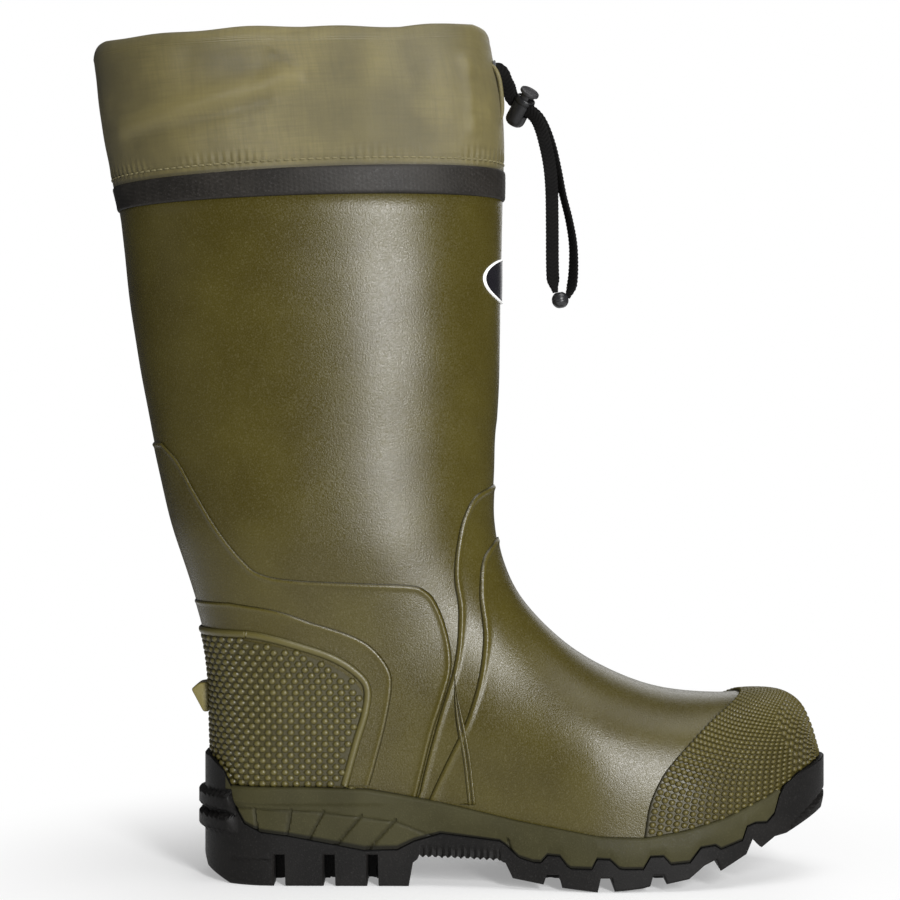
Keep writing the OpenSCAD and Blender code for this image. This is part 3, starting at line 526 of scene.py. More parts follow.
OLIVE = (0.038, 0.030, 0.0038)
OLIVE_2 = (0.048, 0.039, 0.0062)
FINISHES = {
    "olive_rubber": finish("olive_rubber", OLIVE, OLIVE_2, 0.31, shine=0.36, push=0.35, patch=30,
                           fleck=(0.12, 0.105, 0.045), fleck_amount=0.35),
    "cap_rubber": finish("cap_rubber", (0.043, 0.0345, 0.0065), (0.053, 0.0435, 0.0095), 0.42,
                         dark=0.25, light=1.9, shine=0.32),
    "grip_rubber": finish("grip_rubber", (0.047, 0.039, 0.0078), (0.057, 0.048, 0.0105), 0.42,
                          dark=0.25, light=1.9, shine=0.4),
    "sole_olive": finish("sole_olive", (0.026, 0.0235, 0.0085), (0.033, 0.030, 0.0115), 0.56, shine=0.14,
                         dark=0.2, light=1.7, fleck=(0.1, 0.095, 0.05), fleck_amount=0.2),
    "spur_rubber": finish("spur_rubber", (0.115, 0.095, 0.024), (0.15, 0.128, 0.038), 0.5),
    "black_rubber": finish("black_rubber", (0.003, 0.0027, 0.0025), (0.0055, 0.005, 0.0046), 0.55, shine=0.14,
                           dark=0.3, light=3.0, fleck=(0.05, 0.047, 0.045), fleck_amount=0.25),
    "band_rubber": finish("band_rubber", (0.0095, 0.0083, 0.0068), (0.017, 0.015, 0.0125), 0.55, shine=0.2,
                          dark=0.4, light=2.2, fleck=(0.08, 0.072, 0.072), fleck_amount=0.3),
    "collar_cloth": finish("collar_cloth", (0.142, 0.117, 0.038), (0.08, 0.066, 0.02), 0.45, patch=26,
                           push=0.35,
                           dark=0.28, light=1.9, sheen=0.05, weave=True),
    "thread": finish("thread", (0.11, 0.095, 0.04), (0.14, 0.12, 0.055), 0.7, dark=0.4),
    "neoprene": finish("neoprene", (0.02, 0.02, 0.022), (0.03, 0.03, 0.033), 0.85, sheen=0.4, push=0.4),
    "footbed_cloth": finish("footbed_cloth", (0.018, 0.018, 0.02), (0.035, 0.035, 0.04), 0.9,
                            sheen=0.4, push=0.5),
    "foam": finish("foam", (0.05, 0.05, 0.055), (0.065, 0.065, 0.07), 0.9, push=0.5),
    "board": finish("board", (0.42, 0.31, 0.17), (0.48, 0.36, 0.2), 0.85, push=0.4),
    "spring_steel": finish("spring_steel", (0.45, 0.45, 0.46), (0.55, 0.55, 0.56), 0.35,
                           metal=1.0, push=0.05),
    "wire": finish("wire", (0.5, 0.5, 0.51), (0.6, 0.6, 0.61), 0.3, metal=1.0, push=0.05),
    "cord": finish("cord", (0.003, 0.0028, 0.0027), (0.006, 0.0055, 0.0053), 0.85,
                   grain=3000, shine=0.12, dark=0.4, push=0.5),
    "lock_black": finish("lock_black", (0.005, 0.005, 0.0055), (0.008, 0.008, 0.0085), 0.36, shine=0.4,
                         push=0.08, light=4.0),
    "lock_grey": finish("lock_grey", (0.016, 0.0155, 0.0165), (0.024, 0.023, 0.024), 0.4, shine=0.4,
                        push=0.12, light=1.8),
    "bead_black": finish("bead_black", (0.010, 0.010, 0.011), (0.016, 0.016, 0.017), 0.32, push=0.1),
    "badge_black": finish("badge_black", (0.006, 0.0055, 0.008), (0.009, 0.0085, 0.011), 0.3,
                          shine=0.4, push=0.08),
    "badge_white": finish("badge_white", (0.78, 0.78, 0.77), (0.86, 0.86, 0.85), 0.4, push=0.08, dark=0.6),
}


# ---- camera, light and floor ----
def make_camera():
    data = bpy.data.cameras.new("camera")
    data.lens = 84
    data.sensor_width = 36
    camera = bpy.data.objects.new("camera", data)
    camera.location = (-0.005, -1.05, 0.21)
    camera.rotation_euler = (math.radians(90), 0, 0)
    bpy.context.scene.collection.objects.link(camera)
    bpy.context.scene.camera = camera


def soft_light(name, place, aim, size, power):
    data = bpy.data.lights.new(name, "AREA")
    data.shape = "RECTANGLE"
    data.size, data.size_y = size
    data.energy = power
    light = bpy.data.objects.new(name, data)
    light.location = place
    light.rotation_euler = (Vector(aim) - Vector(place)).to_track_quat("-Z", "Y").to_euler()
    bpy.context.scene.collection.objects.link(light)


def pale_floor():
    """Plain pale floor near the boot, glowing to the same white as the studio away from it."""
    made = finish("pale_floor", (0.9, 0.9, 0.9), (0.92, 0.92, 0.92), 0.7, patch=3, push=0.0)
    tree = made.node_tree
    shader = next(n for n in tree.nodes if n.type == "BSDF_PRINCIPLED")
    far = tree.nodes.new("ShaderNodeVectorMath")
    far.operation = "LENGTH"
    tree.links.new(tree.nodes.new("ShaderNodeTexCoord").outputs["Object"], far.inputs[0])
    share = tree.nodes.new("ShaderNodeMapRange")
    share.interpolation_type = "SMOOTHSTEP"
    share.inputs["From Min"].default_value = 0.08
    share.inputs["From Max"].default_value = 0.32
    share.inputs["To Min"].default_value = 0.3
    tree.links.new(far.outputs["Value"], share.inputs["Value"])
    shader.inputs["Emission Color"].default_value = (1, 1, 1, 1)
    glow = tree.nodes.new("ShaderNodeEmission")
    both = tree.nodes.new("ShaderNodeMixShader")
    tree.links.new(share.outputs["Result"], both.inputs[0])
    tree.links.new(shader.outputs[0], both.inputs[1])
    tree.links.new(glow.outputs[0], both.inputs[2])
    tree.links.new(both.outputs[0], next(n for n in tree.nodes if n.type == "OUTPUT_MATERIAL").inputs[0])
    return made


def make_studio():
    soft_light("key", (0.74, -1.85, 0.6), (0, 0, 0.2), (0.32, 1.6), 72)
    soft_light("top", (0.35, -0.3, 1.9), (0, 0, 0.1), (1.2, 1.2), 18)
    soft_light("left", (-1.9, -0.9, 0.8), (0, 0, 0.2), (1.0, 1.4), 1.8)
    soft_light("back", (0.5, 1.9, 1.0), (0, 0, 0.2), (1.2, 1.4), 7)
    world = bpy.data.worlds.new("studio")
    world.use_nodes = True
    tree = world.node_tree
    sky = tree.nodes["Background"]
    sky.inputs["Color"].default_value = (1, 1, 1, 1)
    sky.inputs["Strength"].default_value = 0.1
    seen = tree.nodes.new("ShaderNodeBackground")
    seen.inputs["Color"].default_value = (1, 1, 1, 1)
    rays = tree.nodes.new("ShaderNodeLightPath")
    either = tree.nodes.new("ShaderNodeMixShader")
    tree.links.new(rays.outputs["Is Camera Ray"], either.inputs[0])
    tree.links.new(sky.outputs[0], either.inputs[1])
    tree.links.new(seen.outputs[0], either.inputs[2])
    tree.links.new(either.outputs[0], next(n for n in tree.nodes if n.type == "OUTPUT_WORLD").inputs[0])
    bpy.context.scene.world = world
    bpy.context.scene.view_settings.view_transform = "Standard"
    mesh = bpy.data.meshes.new("floor")
    a = np.arange(96) * 2 * np.pi / 96
    mesh.from_pydata([(0.72 * math.cos(t), 0.72 * math.sin(t), 0) for t in a], [], [list(range(96))])
    floor = bpy.data.objects.new("floor", mesh)
    bpy.context.scene.collection.objects.link(floor)
    mesh.materials.append(pale_floor())
    floor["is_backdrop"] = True


make_camera()
make_studio()

# ---- cord lock's frame and the cords ----
LOCK_C = np.array([31.0, -6.0, 381.0])
LOCK_TURN = Matrix.Rotation(math.radians(-49), 3, "Z") @ Matrix.Rotation(math.radians(41), 3, "Y")
LOCK_AXES = np.array(LOCK_TURN @ Matrix.Rotation(math.radians(18), 3, "Z"))
SLOT_Z = 3.8
SLOT_Y = 2.6
WELL_R = 3.75
WELL_END = -9.5
PLUNGER_END = -5.3
PRESS = 2.5
CORD_GAP = 1.05
LOCK_TWIST = -32
NEAR_START = [[17.2, -7, 399, 0], [19, -7, 399.2, 0], [21.5, -6.8, 397, -10], [23.4, -5.8, 392, -22]]
NEAR_END = [
    [39.8, -12, 369, -24], [42.3, -13, 360, -12], [44.2, -13.4, 350, 0], [45.2, -13.4, 338, 0],
    [45.5, -13, 320, 0], [45.6, -12.4, 303, 0], [46, -11.4, 294, 0], [47.2, -10.4, 288, 10],
]
FAR_START = [[17.2, 7, 399, 0], [19, 7, 399.2, 0], [21.9, 5.6, 397, -10], [24.6, 2, 392.4, -24]]
FAR_END = [
    [41.4, -9.4, 369.6, -30], [45, -9.6, 360, -40], [48.2, -9.6, 348, -55], [51, -9.5, 336, -68],
    [54, -9.2, 324, -66], [56, -8.8, 312, -60], [56.2, -8.6, 300, -52], [55.3, -8.6, 291, -45],
    [53, -9, 285.6, -40],
]
BEAD_C = np.array([49.6, -9.6, 284.3])
BEAD_R = 4.2


def from_lock(points):
    """Points in the lock's own axes, in the boot's frame."""
    return LOCK_C + np.asarray(points, float) @ LOCK_AXES.T


def route(start, across, end):
    """A cord's knots: before the lock, through it, and after it."""
    inside = [[*from_lock([along, across, 0]), LOCK_TWIST] for along in (-7, 1, 9)]
    return np.array(start + inside + end, float)


def smooth_route(knots, parts=12):
    """Smooth curve through the knots."""
    n = len(knots)
    out = []
    for i in range(n - 1):
        a, b, c, d = knots[max(i - 1, 0)], knots[i], knots[i + 1], knots[min(i + 2, n - 1)]
        for t in np.arange(parts) / parts:
            out.append(b + 0.5 * t * (c - a + t * (2 * a - 5 * b + 4 * c - d + t * (3 * (b - c) + d - a))))
    return np.array(out + [knots[-1]])


def braid(name, path, across, face, body="boot", stands_for=(), gathered=False):
    """Flat braided strap: a rounded section whose faces carry the slanting strands of the braid."""
    along = np.concatenate([[0], np.cumsum(np.linalg.norm(np.diff(path, axis=0), axis=1))])[:, None]
    a = np.arange(36) * 2 * np.pi / 36
    u = np.sign(np.cos(a)) * np.abs(np.cos(a)) ** 0.7
    v = np.sign(np.sin(a)) * np.abs(np.sin(a)) ** 0.5
    strand = np.sin(2 * np.pi * (along / 1.9 + 1.1 * np.abs(u)))
    gather = mix(0.45, 1, ease((along[-1] - along) / 7)) if gathered else 1.0
    wide = ((CORD_W / 2 - 0.12) * u + 0.1 * strand * u) * gather
    thick = ((CORD_T / 2 - 0.16) * v + 0.14 * strand * v) * (2 - gather) ** 0.5
    rings = path[:, None] + wide[..., None] * across[:, None] + thick[..., None] * face[:, None]
    points, faces = capped(rings)
    # Painted shade in the grooves between the strands
    groove = np.concatenate([[np.zeros(36)], 0.5 - 0.5 * strand, [np.zeros(36)]]).ravel() * 0.8
    return add_mesh(name, points, faces, "cord", body, stands_for, crevice=groove)


def free_cord(name, knots, stands_for):
    fine = resample(smooth_route(knots), 0.4)
    path, twist = fine[:, :3], np.radians(fine[:, 3:])
    t = unit(np.gradient(path, axis=0))
    w = unit(np.cross(t, np.broadcast_to([0.0, 1.0, 0.0], t.shape)))
    v = np.cross(w, t)
    across = w * np.cos(twist) + v * np.sin(twist)
    face = v * np.cos(twist) - w * np.sin(twist)
    return braid(name, path, across, face, stands_for=stands_for, gathered=True), path


near_cord, near_path = free_cord("cord_near", route(NEAR_START, -CORD_GAP, NEAR_END), ["drawcord_near"])
far_cord, far_path = free_cord("cord_far", route(FAR_START, CORD_GAP, FAR_END), ["drawcord_far"])


# ---- cord lock and bead ----
def cut_slot(piece, low, high):
    """Cuts a straight slot along the lock's own X through a piece."""
    corners = [[x, y, z] for x in (-12, 12) for y in (-SLOT_Y, SLOT_Y) for z in (low, high)]
    mesh = bpy.data.meshes.new("cutter")
    sides = [[0, 1, 3, 2], [4, 6, 7, 5], [0, 4, 5, 1], [2, 3, 7, 6], [0, 2, 6, 4], [1, 5, 7, 3]]
    mesh.from_pydata((from_lock(corners) * MM).tolist(), [], sides)
    cutter = bpy.data.objects.new("cutter", mesh)
    bpy.context.scene.collection.objects.link(cutter)
    cut = piece.modifiers.new("slot", "BOOLEAN")
    cut.operation = "DIFFERENCE"
    cut.solver = "EXACT"
    cut.object = cutter
    done = bpy.data.meshes.new_from_object(piece.evaluated_get(bpy.context.evaluated_depsgraph_get()))
    piece.modifiers.clear()
    piece.data = done
    done.shade_smooth()
    done.set_sharp_from_angle(angle=math.radians(35))
    bpy.data.objects.remove(cutter)


def lock_part(name, profile, finish_name, body, stands_for, low, high):
    points, faces = lathe(profile, 72)
    piece = add_mesh(name, from_lock(points), faces, finish_name, body, stands_for)
    weld(piece, 0.002)
    cut_slot(piece, low, high)
    return piece


BARREL = [
    [0.001, -11], [2.2, -10.95], [3.4, -10.6], [4.2, -10], [4.75, -9.1], [4.97, -8], [5, -6.5], [5, 1.2],
    [4.95, 1.35], [4.72, 1.45], [4.72, 1.85], [4.98, 1.95], [5.12, 2.15], [5.12, 3.1], [5.05, 3.4],
    [4.9, 4.3], [4.7, 4.55], [4.3, 4.6], [3.95, 4.6], [3.8, 4.45], [WELL_R, 4.2], [WELL_R, WELL_END],
    [0.001, WELL_END],
]
PLUNGER = [
    [0.001, PLUNGER_END], [3.3, PLUNGER_END], [3.55, -5.1], [3.6, -4.8], [3.6, 6.9], [3.8, 7.1], [4.6, 7.15],
    [4.85, 7.4], [4.92, 7.8], [4.9, 8.4], [4.75, 8.8], [4.4, 9], [4.0, 8.98], [3.8, 8.8], [3.6, 8.62],
    [2.4, 8.56], [0.001, 8.55],
]
barrel = lock_part("lock_barrel_moulding", BARREL, "lock_black", "cord_lock", ["lock_barrel"],
                   -SLOT_Z, SLOT_Z)
plunger = lock_part("lock_plunger_moulding", PLUNGER, "lock_grey", "plunger", ["lock_plunger"],
                    -SLOT_Z, SLOT_Z + PRESS)
turns = np.linspace(0, 3, 3 * 28 + 1)
coil = np.stack([2.6 * np.cos(2 * np.pi * turns), 2.6 * np.sin(2 * np.pi * turns),
                 mix(WELL_END + 0.35, PLUNGER_END - 0.35, turns / 3)], axis=1)
points, faces = capped(tube_rings(coil, round_section(0.3), up=(0, 0, 1)))
spring = add_mesh("lock_spring_wire", from_lock(points), faces, "wire", "cord_lock", ["lock_spring"])
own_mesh(spring)

# Bead: a ball with flats at its ends, a parting line and a lip where the cords go in
bead_axis = np.array(Vector((-0.15, -0.1, 1)).normalized().to_track_quat("Z", "X").to_matrix())
BALL = [[0.001, -3.9], [1.3, -3.95], [1.7, -3.75]]
BALL += [[BEAD_R * math.cos(math.radians(a)), BEAD_R * math.sin(math.radians(a))] for a in range(-62, -4, 6)]
BALL += [[BEAD_R - 0.02, -0.25], [BEAD_R - 0.15, -0.1], [BEAD_R - 0.15, 0.1], [BEAD_R - 0.02, 0.25]]
BALL += [[BEAD_R * math.cos(math.radians(a)), BEAD_R * math.sin(math.radians(a))] for a in range(8, 62, 6)]
BALL += [[2.3, 3.5], [2.1, 3.8], [1.7, 3.85], [1.5, 3.5], [0.001, 3.3]]
points, faces = lathe(BALL, 48)
bead = add_mesh("cord_end_bead", BEAD_C + points @ bead_axis.T, faces, "bead_black", stands_for=["cord_end"])
weld(bead, 0.002)


# ---- rubber shells and bootie ----
LEG_ROWS = np.concatenate([np.arange(-98, 0, 2.6), np.arange(0, SPLIT, 1.0), [SPLIT]])
toe_t = np.linspace(0, 1, 34)
FOOT_ROWS = np.concatenate([np.arange(SPLIT + 0.05, 90, 1.0), 90 + (TOE_L - 0.05) * (1 - (1 - toe_t) ** 2)])


def leg_grid(n, o, lift, top):
    side, a = ring_columns(n)
    first = leg_point(side, top, band_tilt(top), a, o)[None]
    rest = section_point(side, LEG_ROWS[:, None], a, o, lift)
    return np.concatenate([first, rest])


def foot_grid(n, o, lift):
    side, a = ring_columns(n)
    return section_point(side, FOOT_ROWS[:, None], a, o, lift)


def dented(grid, amount=1.0):
    """The grid moved outwards, away from the middle of each of its rows, by the surface's unevenness."""
    out = grid - grid.mean(axis=1, keepdims=True)
    return grid + unit(out) * dents(grid)[..., None] * amount


def rubber_shell(grid, n, *top):
    return shell(dented(grid(n, 0, 0, *top)), grid(n, -RUBBER_T, 0, *top))


points, faces = rubber_shell(leg_grid, 120, SHELL_TOP)
add_mesh("leg_rubber", points, faces, "olive_rubber", stands_for=["leg_shell"])
points, faces = rubber_shell(foot_grid, 120)
add_mesh("vamp_rubber", points, faces, "olive_rubber", stands_for=["vamp_shell"])
for name, grid, more in (("liner_leg", leg_grid, [SHELL_TOP + 3]), ("liner_foot", foot_grid, [])):
    points, faces = shell(grid(64, -RUBBER_T - GLUE, 3, *more), grid(64, -RUBBER_T - LINER_T, 3, *more))
    sock = add_mesh(name + "_neoprene", points, faces, "neoprene", stands_for=[name])


# ---- overlays ----
NEAR_EDGE = np.array([0, 0.2, 0.4, 0.65, 0.95, 1.3, 1.7, 2.1, 2.6, 3.2, 4, 5.2, 7])


def rows_between(table, low, high, per_row, place):
    """Rows from low to high, close together where the edge runs nearly along them."""
    fine = np.linspace(low, high, 3000)
    run = np.linalg.norm(np.diff(np.stack(place(fine, curve(table, fine)), axis=1), axis=0), axis=1)
    count = np.concatenate([[0], np.cumsum(np.maximum(run / 1.5, np.diff(fine) / per_row))])
    return np.interp(np.linspace(0, count[-1], math.ceil(count[-1]) + 1), count, fine)


def clustered(end, mm_per_unit, n):
    """Positions from the middle (0) out to end, with close ones at the end."""
    span = end[:, None] * mm_per_unit[:, None]
    near = np.minimum(1, span / 16) * NEAR_EDGE[None, ::-1] / mm_per_unit[:, None]
    close = end[:, None] - near
    return np.concatenate([close[:, :1] * (np.arange(n) + 0.5) / n, close], axis=1)


def heel_patch(table, top, bottom, n, lip=True):
    """Sides, places and heights of a patch wrapped around the heel."""
    z = rows_between(table, bottom, top, 2.4, lambda z, x: (x, z))
    if lip:
        z = np.unique(np.concatenate([z, top - NEAR_EDGE]))
    z = z[::-1]
    edge = curve(table, z)
    reach = edge - curve(REAR, z)
    a = np.minimum(1, reach / 16)[:, None] * NEAR_EDGE / np.maximum(reach, 1)[:, None]
    close = np.degrees(np.arccos(-np.clip(a, 0, 1)))
    rest = close[:, -1:] + (180 - close[:, -1:]) * (np.arange(n) + 0.5) / n
    a = np.concatenate([close, rest], axis=1)
    a = np.concatenate([a, a[:, ::-1]], axis=1)
    side = np.concatenate([-np.ones(a.shape[1] // 2), np.ones(a.shape[1] // 2)])

    def place(o):
        x = mix(edge[:, None], curve(REAR, z)[:, None] - o, -np.cos(np.radians(a)))
        return skin(side, x, z[:, None], o)

    rest_points = place(np.zeros(a.shape))
    line = np.concatenate([rest_points[::-1, 0], rest_points[0], rest_points[:, -1]])
    return place, rest_points, line


def front_patch(table, start, n):
    """Places of a patch wrapped over the instep and the forefoot."""
    s = rows_between(table, start + 0.02, table[-1][0], 1.1,
                     lambda s, r: (FAN_X - r * np.cos(np.radians(s)), FAN_Z - r * np.sin(np.radians(s))))
    s = np.concatenate([s, np.arange(table[-1][0] + 1, SPLIT, 1.0), FOOT_ROWS])
    r = np.minimum(np.where(s <= table[-1][0], curve(table, s), 400), back_r(s, 0) - 1)
    share = (r - front_r(s, 0)) / (back_r(s, 0) - front_r(s, 0))
    end = np.degrees(np.arccos(np.clip(1 - 2 * share, -1, 1)))
    end = np.maximum(end, 0.3)
    two = section_point(-1.0, s[:, None], np.stack([end * 0.985, end], axis=1), 0.0)
    mm = np.linalg.norm(two[:, 1] - two[:, 0], axis=1) / (end * 0.015)
    a = clustered(end, np.maximum(mm, 0.1), n)
    a = np.concatenate([a[:, ::-1], a], axis=1)
    side = np.concatenate([np.ones(a.shape[1] // 2), -np.ones(a.shape[1] // 2)])

    def place(o):
        return section_point(side, s[:, None], a, o)

    rest_points = place(np.zeros(a.shape))
    line = np.concatenate([rest_points[::-1, 0], rest_points[:, -1]])
    return place, rest_points, line


def overlay(name, patch, base, ridge, ridge_w, finish_name, stands_for, thick=OVERLAY_T):
    """A thin layer with a rolled edge, a soft ridge just inside it, a painted highlight along the ridge and a
    line of painted shade along its foot.
    """
    place, rest_points, line = patch
    d = distance_to(rest_points, line)
    o = base - 0.15 + (thick + 0.15) * cap(d / 1.3, 2)
    o = o + ridge * np.exp(-(((d - ridge_w) / (0.62 * ridge_w)) ** 2)) + dents(rest_points)
    grid = place(o)
    # Painted shade along the foot of the edge, and a painted highlight along the ridge's crest
    dark = np.exp(-((d / 0.55) ** 2)).ravel()
    highlight = 0.3 * np.exp(-(((d - ridge_w) / (0.5 * ridge_w)) ** 2)).ravel()
    faces = grid_faces(*grid.shape[:2])
    return add_mesh(name, grid, faces, finish_name, stands_for=stands_for, crevice=dark, wear=highlight)


overlay("ankle_layer", heel_patch(ANKLE_EDGE, 214, 29, 34), 0, 0.5, 1.5, "olive_rubber", ["ankle_overlay"])
overlay("vamp_layer", front_patch(VAMP_EDGE, 15.9, 60), 0, 0.6, 1.7, "olive_rubber", ["vamp_overlay"])
overlay("instep_layer", front_patch(INSTEP_EDGE, 27.8, 60), OVERLAY_T, 0.6, 1.9, "olive_rubber",
        ["instep_overlay"])
overlay("heel_layer", heel_patch(HEEL_EDGE, 136, 48, 34), OVERLAY_T, 0.2, 1.4, "olive_rubber",
        ["heel_overlay"])


def side_path(table, step):
    """Smooth, evenly spaced points through a list of points in the side view."""
    line = np.array(table, float)
    ends = np.concatenate([line[:1], line, line[-1:]])
    return resample(smooth_route(ends, 8), step)


# Two raised strips a side, with the groove between them, where the layers cross beside the arch
strip_path = side_path(STRIP, 1.0)
STRIP_OFFSETS = (-1.15, 1.15)
STRIP_SHIFT = 2.0
strip_profile = [[w - STRIP_SHIFT, math.sqrt(max(0, 1 - (w - m) ** 2)) - 0.1] for m in STRIP_OFFSETS
                 for w in np.linspace(m - 1, m + 1, 9)]
narrow = ease((104 - strip_path[:, 1]) / 30)[:, None]
points, faces, dark = [], [], []
for sign in (-1, 1):
    d = unit(np.gradient(strip_path, axis=0))
    across = np.stack([-d[:, 1], d[:, 0]], axis=1)
    profile = np.array(strip_profile)
    width = (profile[None, :, :1] + STRIP_SHIFT) * narrow[..., None] * 0.9
    spots = strip_path[:, None] + across[:, None] * (width + STRIP_SHIFT)
    x, z = spots[..., 0], spots[..., 1]
    high = THIRD_BASE - 0.1 + profile[None, :, 1] * (0.35 + 0.65 * narrow)
    grid = skin(float(sign), x, z, high + dents(skin(float(sign), x, z, 0)))
    faces.append(grid_faces(*grid.shape[:2])[:, ::sign] + len(points) * grid.shape[0] * grid.shape[1])
    points.append(grid.reshape(-1, 3))
    # Painted shade in the low parts of the profile, along the groove and the strips' feet
    dark.append(np.broadcast_to(np.where(profile[:, 1] < 0.1, 0.8, 0.0), grid.shape[:2]).ravel())
add_joined("ankle_ribs", points, faces, "olive_rubber", ["ankle_strips"],
         crevice=np.concatenate(dark))

# Bead around the heel panel: up one side, round the back, down the other
flank = side_path(BEAD, 1.2)
bead_profile = [[w, 1.7 * math.sqrt(max(0, 1 - (abs(w - 2) / 2) ** 2.2)) - 0.15]
                for w in np.linspace(0, BEAD_W, 15)]
profile = np.array(bead_profile)
d = unit(np.gradient(flank, axis=0))
d[-1] = (-1, 0)
across = np.stack([-d[:, 1], d[:, 0]], axis=1)
spots = flank[:, None] + across[:, None] * profile[None, :, :1]
high = THIRD_BASE + profile[None, :, 1] + dents(skin(-1.0, spots[..., 0], spots[..., 1], 0))
back_z = BEAD[-1][1] - profile[None, :, 0]
back_a = np.linspace(90, 180, 41)[1:, None]
back_x = mix(BEAD[-1][0], curve(REAR, back_z) - profile[None, :, 1] - THIRD_BASE, -np.cos(np.radians(back_a)))
back_high = THIRD_BASE + profile[None, :, 1] + 0 * back_x
back_z = back_z + 0 * back_x
x, z = spots[..., 0], spots[..., 1]
parts = [skin(-1.0, x, z, high), skin(-1.0, back_x, back_z, back_high)]
parts += [skin(1.0, back_x, back_z, back_high)[-2::-1], skin(1.0, x, z, high)[::-1]]
bead_grid = np.concatenate(parts)
# Painted shade along the bead's foot and a painted highlight along its top
dark = np.broadcast_to(np.where(profile[:, 1] < 0.2, 1.0, 0.0), bead_grid.shape[:2]).ravel()
highlight = np.broadcast_to(0.28 * (profile[:, 1] > 1.3), bead_grid.shape[:2]).ravel()
add_grid("heel_bead", bead_grid, "grip_rubber", ["heel_grip_rim"],
         crevice=dark, wear=highlight)

# ---- studs ----
STUD_RINGS = [(1.0, 0.0), (0.78, 0.6), (0.4, 1.0)]


def studs(name, centre, normal, along, size, height, finish_name):
    """Small rounded six-sided studs on a surface, with painted shade round their feet and a painted highlight
    on their tops.
    """
    normal, along = unit(normal), unit(along)
    other = np.cross(normal, along)
    a = np.arange(6) * np.pi / 3
    rings = []
    for r, h in STUD_RINGS:
        flat = np.cos(a)[None, :, None] * along[:, None] * size[0][:, None, None]
        flat = flat + np.sin(a)[None, :, None] * other[:, None] * size[1][:, None, None]
        rings.append(centre[:, None] + r * flat + (h * height - 0.12 * (h == 0)) * normal[:, None])
    points = np.concatenate(rings, axis=1)
    one = np.concatenate([grid_faces(3, 6, True), [[12, 13, 14, 15], [12, 15, 16, 17]]])
    faces = (one[None] + np.arange(len(centre))[:, None, None] * 18).reshape(-1, 4)
    # Painted shade on the base ring, a painted highlight on the top ring
    dark = np.tile(np.repeat([0.8, 0.15, 0.0], 6), len(centre))
    highlight = np.tile(np.repeat([0.0, 0.1, 0.28], 6), len(centre))
    return add_mesh(name, points, faces, finish_name, crevice=dark, wear=highlight)


# Heel panel, and its studs on a staggered lattice measured from the middle of the back
grip_inset = [[z - (BEAD_W if z > 90 else 0), x - BEAD_W] for z, x in GRIP_EDGE]
place, rest_points, line = heel_patch(grip_inset, 118.5, 48, 34, lip=False)
grid = place(THIRD_BASE + 0.35 + dents(rest_points))
# Half-strength painted shade over the whole panel, for the shade between its studs
add_grid("heel_panel", grid, "grip_rubber", ["heel_grip_panel"],
         crevice=np.full(grid.shape[0] * grid.shape[1], 0.5))
PITCH_X = 5.5
PITCH_Z = 2.75
PANEL_O = THIRD_BASE + 0.35
spots = []
for row, z in enumerate(np.arange(48.8, 117.6, PITCH_Z)):
    edge = float(curve(grip_inset, z)) - 0.9
    a = np.linspace(90, 180, 200)
    x = mix(edge, curve(REAR, z) - PANEL_O, -np.cos(np.radians(a)))
    half = skin(-1.0, x, z, PANEL_O)[::-1]
    run = np.concatenate([[0], np.cumsum(np.linalg.norm(np.diff(half, axis=0), axis=1))])
    at = np.arange(PITCH_X / 2 if row % 2 else 0, run[-1], PITCH_X)
    for distance in at:
        x_here = np.interp(distance, run, half[:, 0])
        spots += [(-1.0, x_here, z), (1.0, x_here, z)] if distance > 0 else [(-1.0, x_here, z)]
side, x, z = np.array(spots).T
flat = skin(side, x, z, PANEL_O)
centre = skin(side, x, z, PANEL_O + dents(flat))
step_z = skin(side, np.maximum(x, curve(REAR, z + 0.3) - PANEL_O), z + 0.3, PANEL_O) - flat
step_x = skin(side, x + 0.3, z, PANEL_O) - flat
normal = np.cross(step_x, step_z) * -side[:, None]
normal = np.where(((centre - [-75, 0, 80]) * normal).sum(axis=1, keepdims=True) < 0, -normal, normal)
sizes = (np.full(len(x), 2.15), np.full(len(x), 1.85))
studs("heel_studs", centre, normal, step_x, sizes, 1.2, "grip_rubber")


# Toe cap: u runs from its rear edge to the tip, a from its top down to the sole
def cap_point(side, u, a, o):
    high = (1 + np.cos(np.radians(a))) / 2
    rear = curve(CAP_EDGE, mix(CAP_EDGE[0][0], 90, high))
    x = mix(rear, TOE_X + o - 0.02, u)
    low = curve(TOP_LINE, x) + 0.4
    return skin(side, x, mix(low, curve(VAMP, x - o) + o, high), o)


CAP_O = THIRD_BASE + 0.7
u = np.concatenate([np.array([0, 0.004, 0.01, 0.02]), 1 - (1 - np.linspace(0.02, 1, 60)) ** 1.7 * 0.97])
u = np.unique(np.clip(u, 0, 1))[:, None]
n = 70
a = np.concatenate([half_steps(n)[::-1], half_steps(n)])[None]
side = np.concatenate([np.ones(n), -np.ones(n)])
rise = cap(u / 0.014, 2)
grid = cap_point(side, u, a, THIRD_BASE - 0.2 + (CAP_O - THIRD_BASE + 0.2) * rise + 0 * a)
# Painted shade along the cap's rear edge, and lighter painted shade over the rest, between its studs
dark = np.broadcast_to(np.where(u < 0.012, 1.0, 0.4), grid.shape[:2]).ravel()
add_grid("toe_cap_skin", grid, "cap_rubber", ["toe_cap"], crevice=dark)
STUD_PITCH = 3.1
COLUMN_PITCH = 3.5
line_u = np.linspace(0.015, 0.9999, 1500)
middle = cap_point(-1.0, line_u, 90.0, CAP_O)
run = np.concatenate([[0], np.cumsum(np.linalg.norm(np.diff(middle, axis=0), axis=1))])
columns = np.interp(np.arange(COLUMN_PITCH / 2, run[-1] - 0.5, COLUMN_PITCH), run, line_u)
tall = cap_point(-1.0, 0.02, np.linspace(0, 180, 400), CAP_O)
tall_run = np.concatenate([[0], np.cumsum(np.linalg.norm(np.diff(tall, axis=0), axis=1))])
row_count = int(tall_run[-1] / STUD_PITCH)
shares = (np.arange(2 * row_count) + 0.5) / (2 * row_count)
levels = np.interp(shares * tall_run[-1], tall_run, np.linspace(0, 180, 400))
spots = []
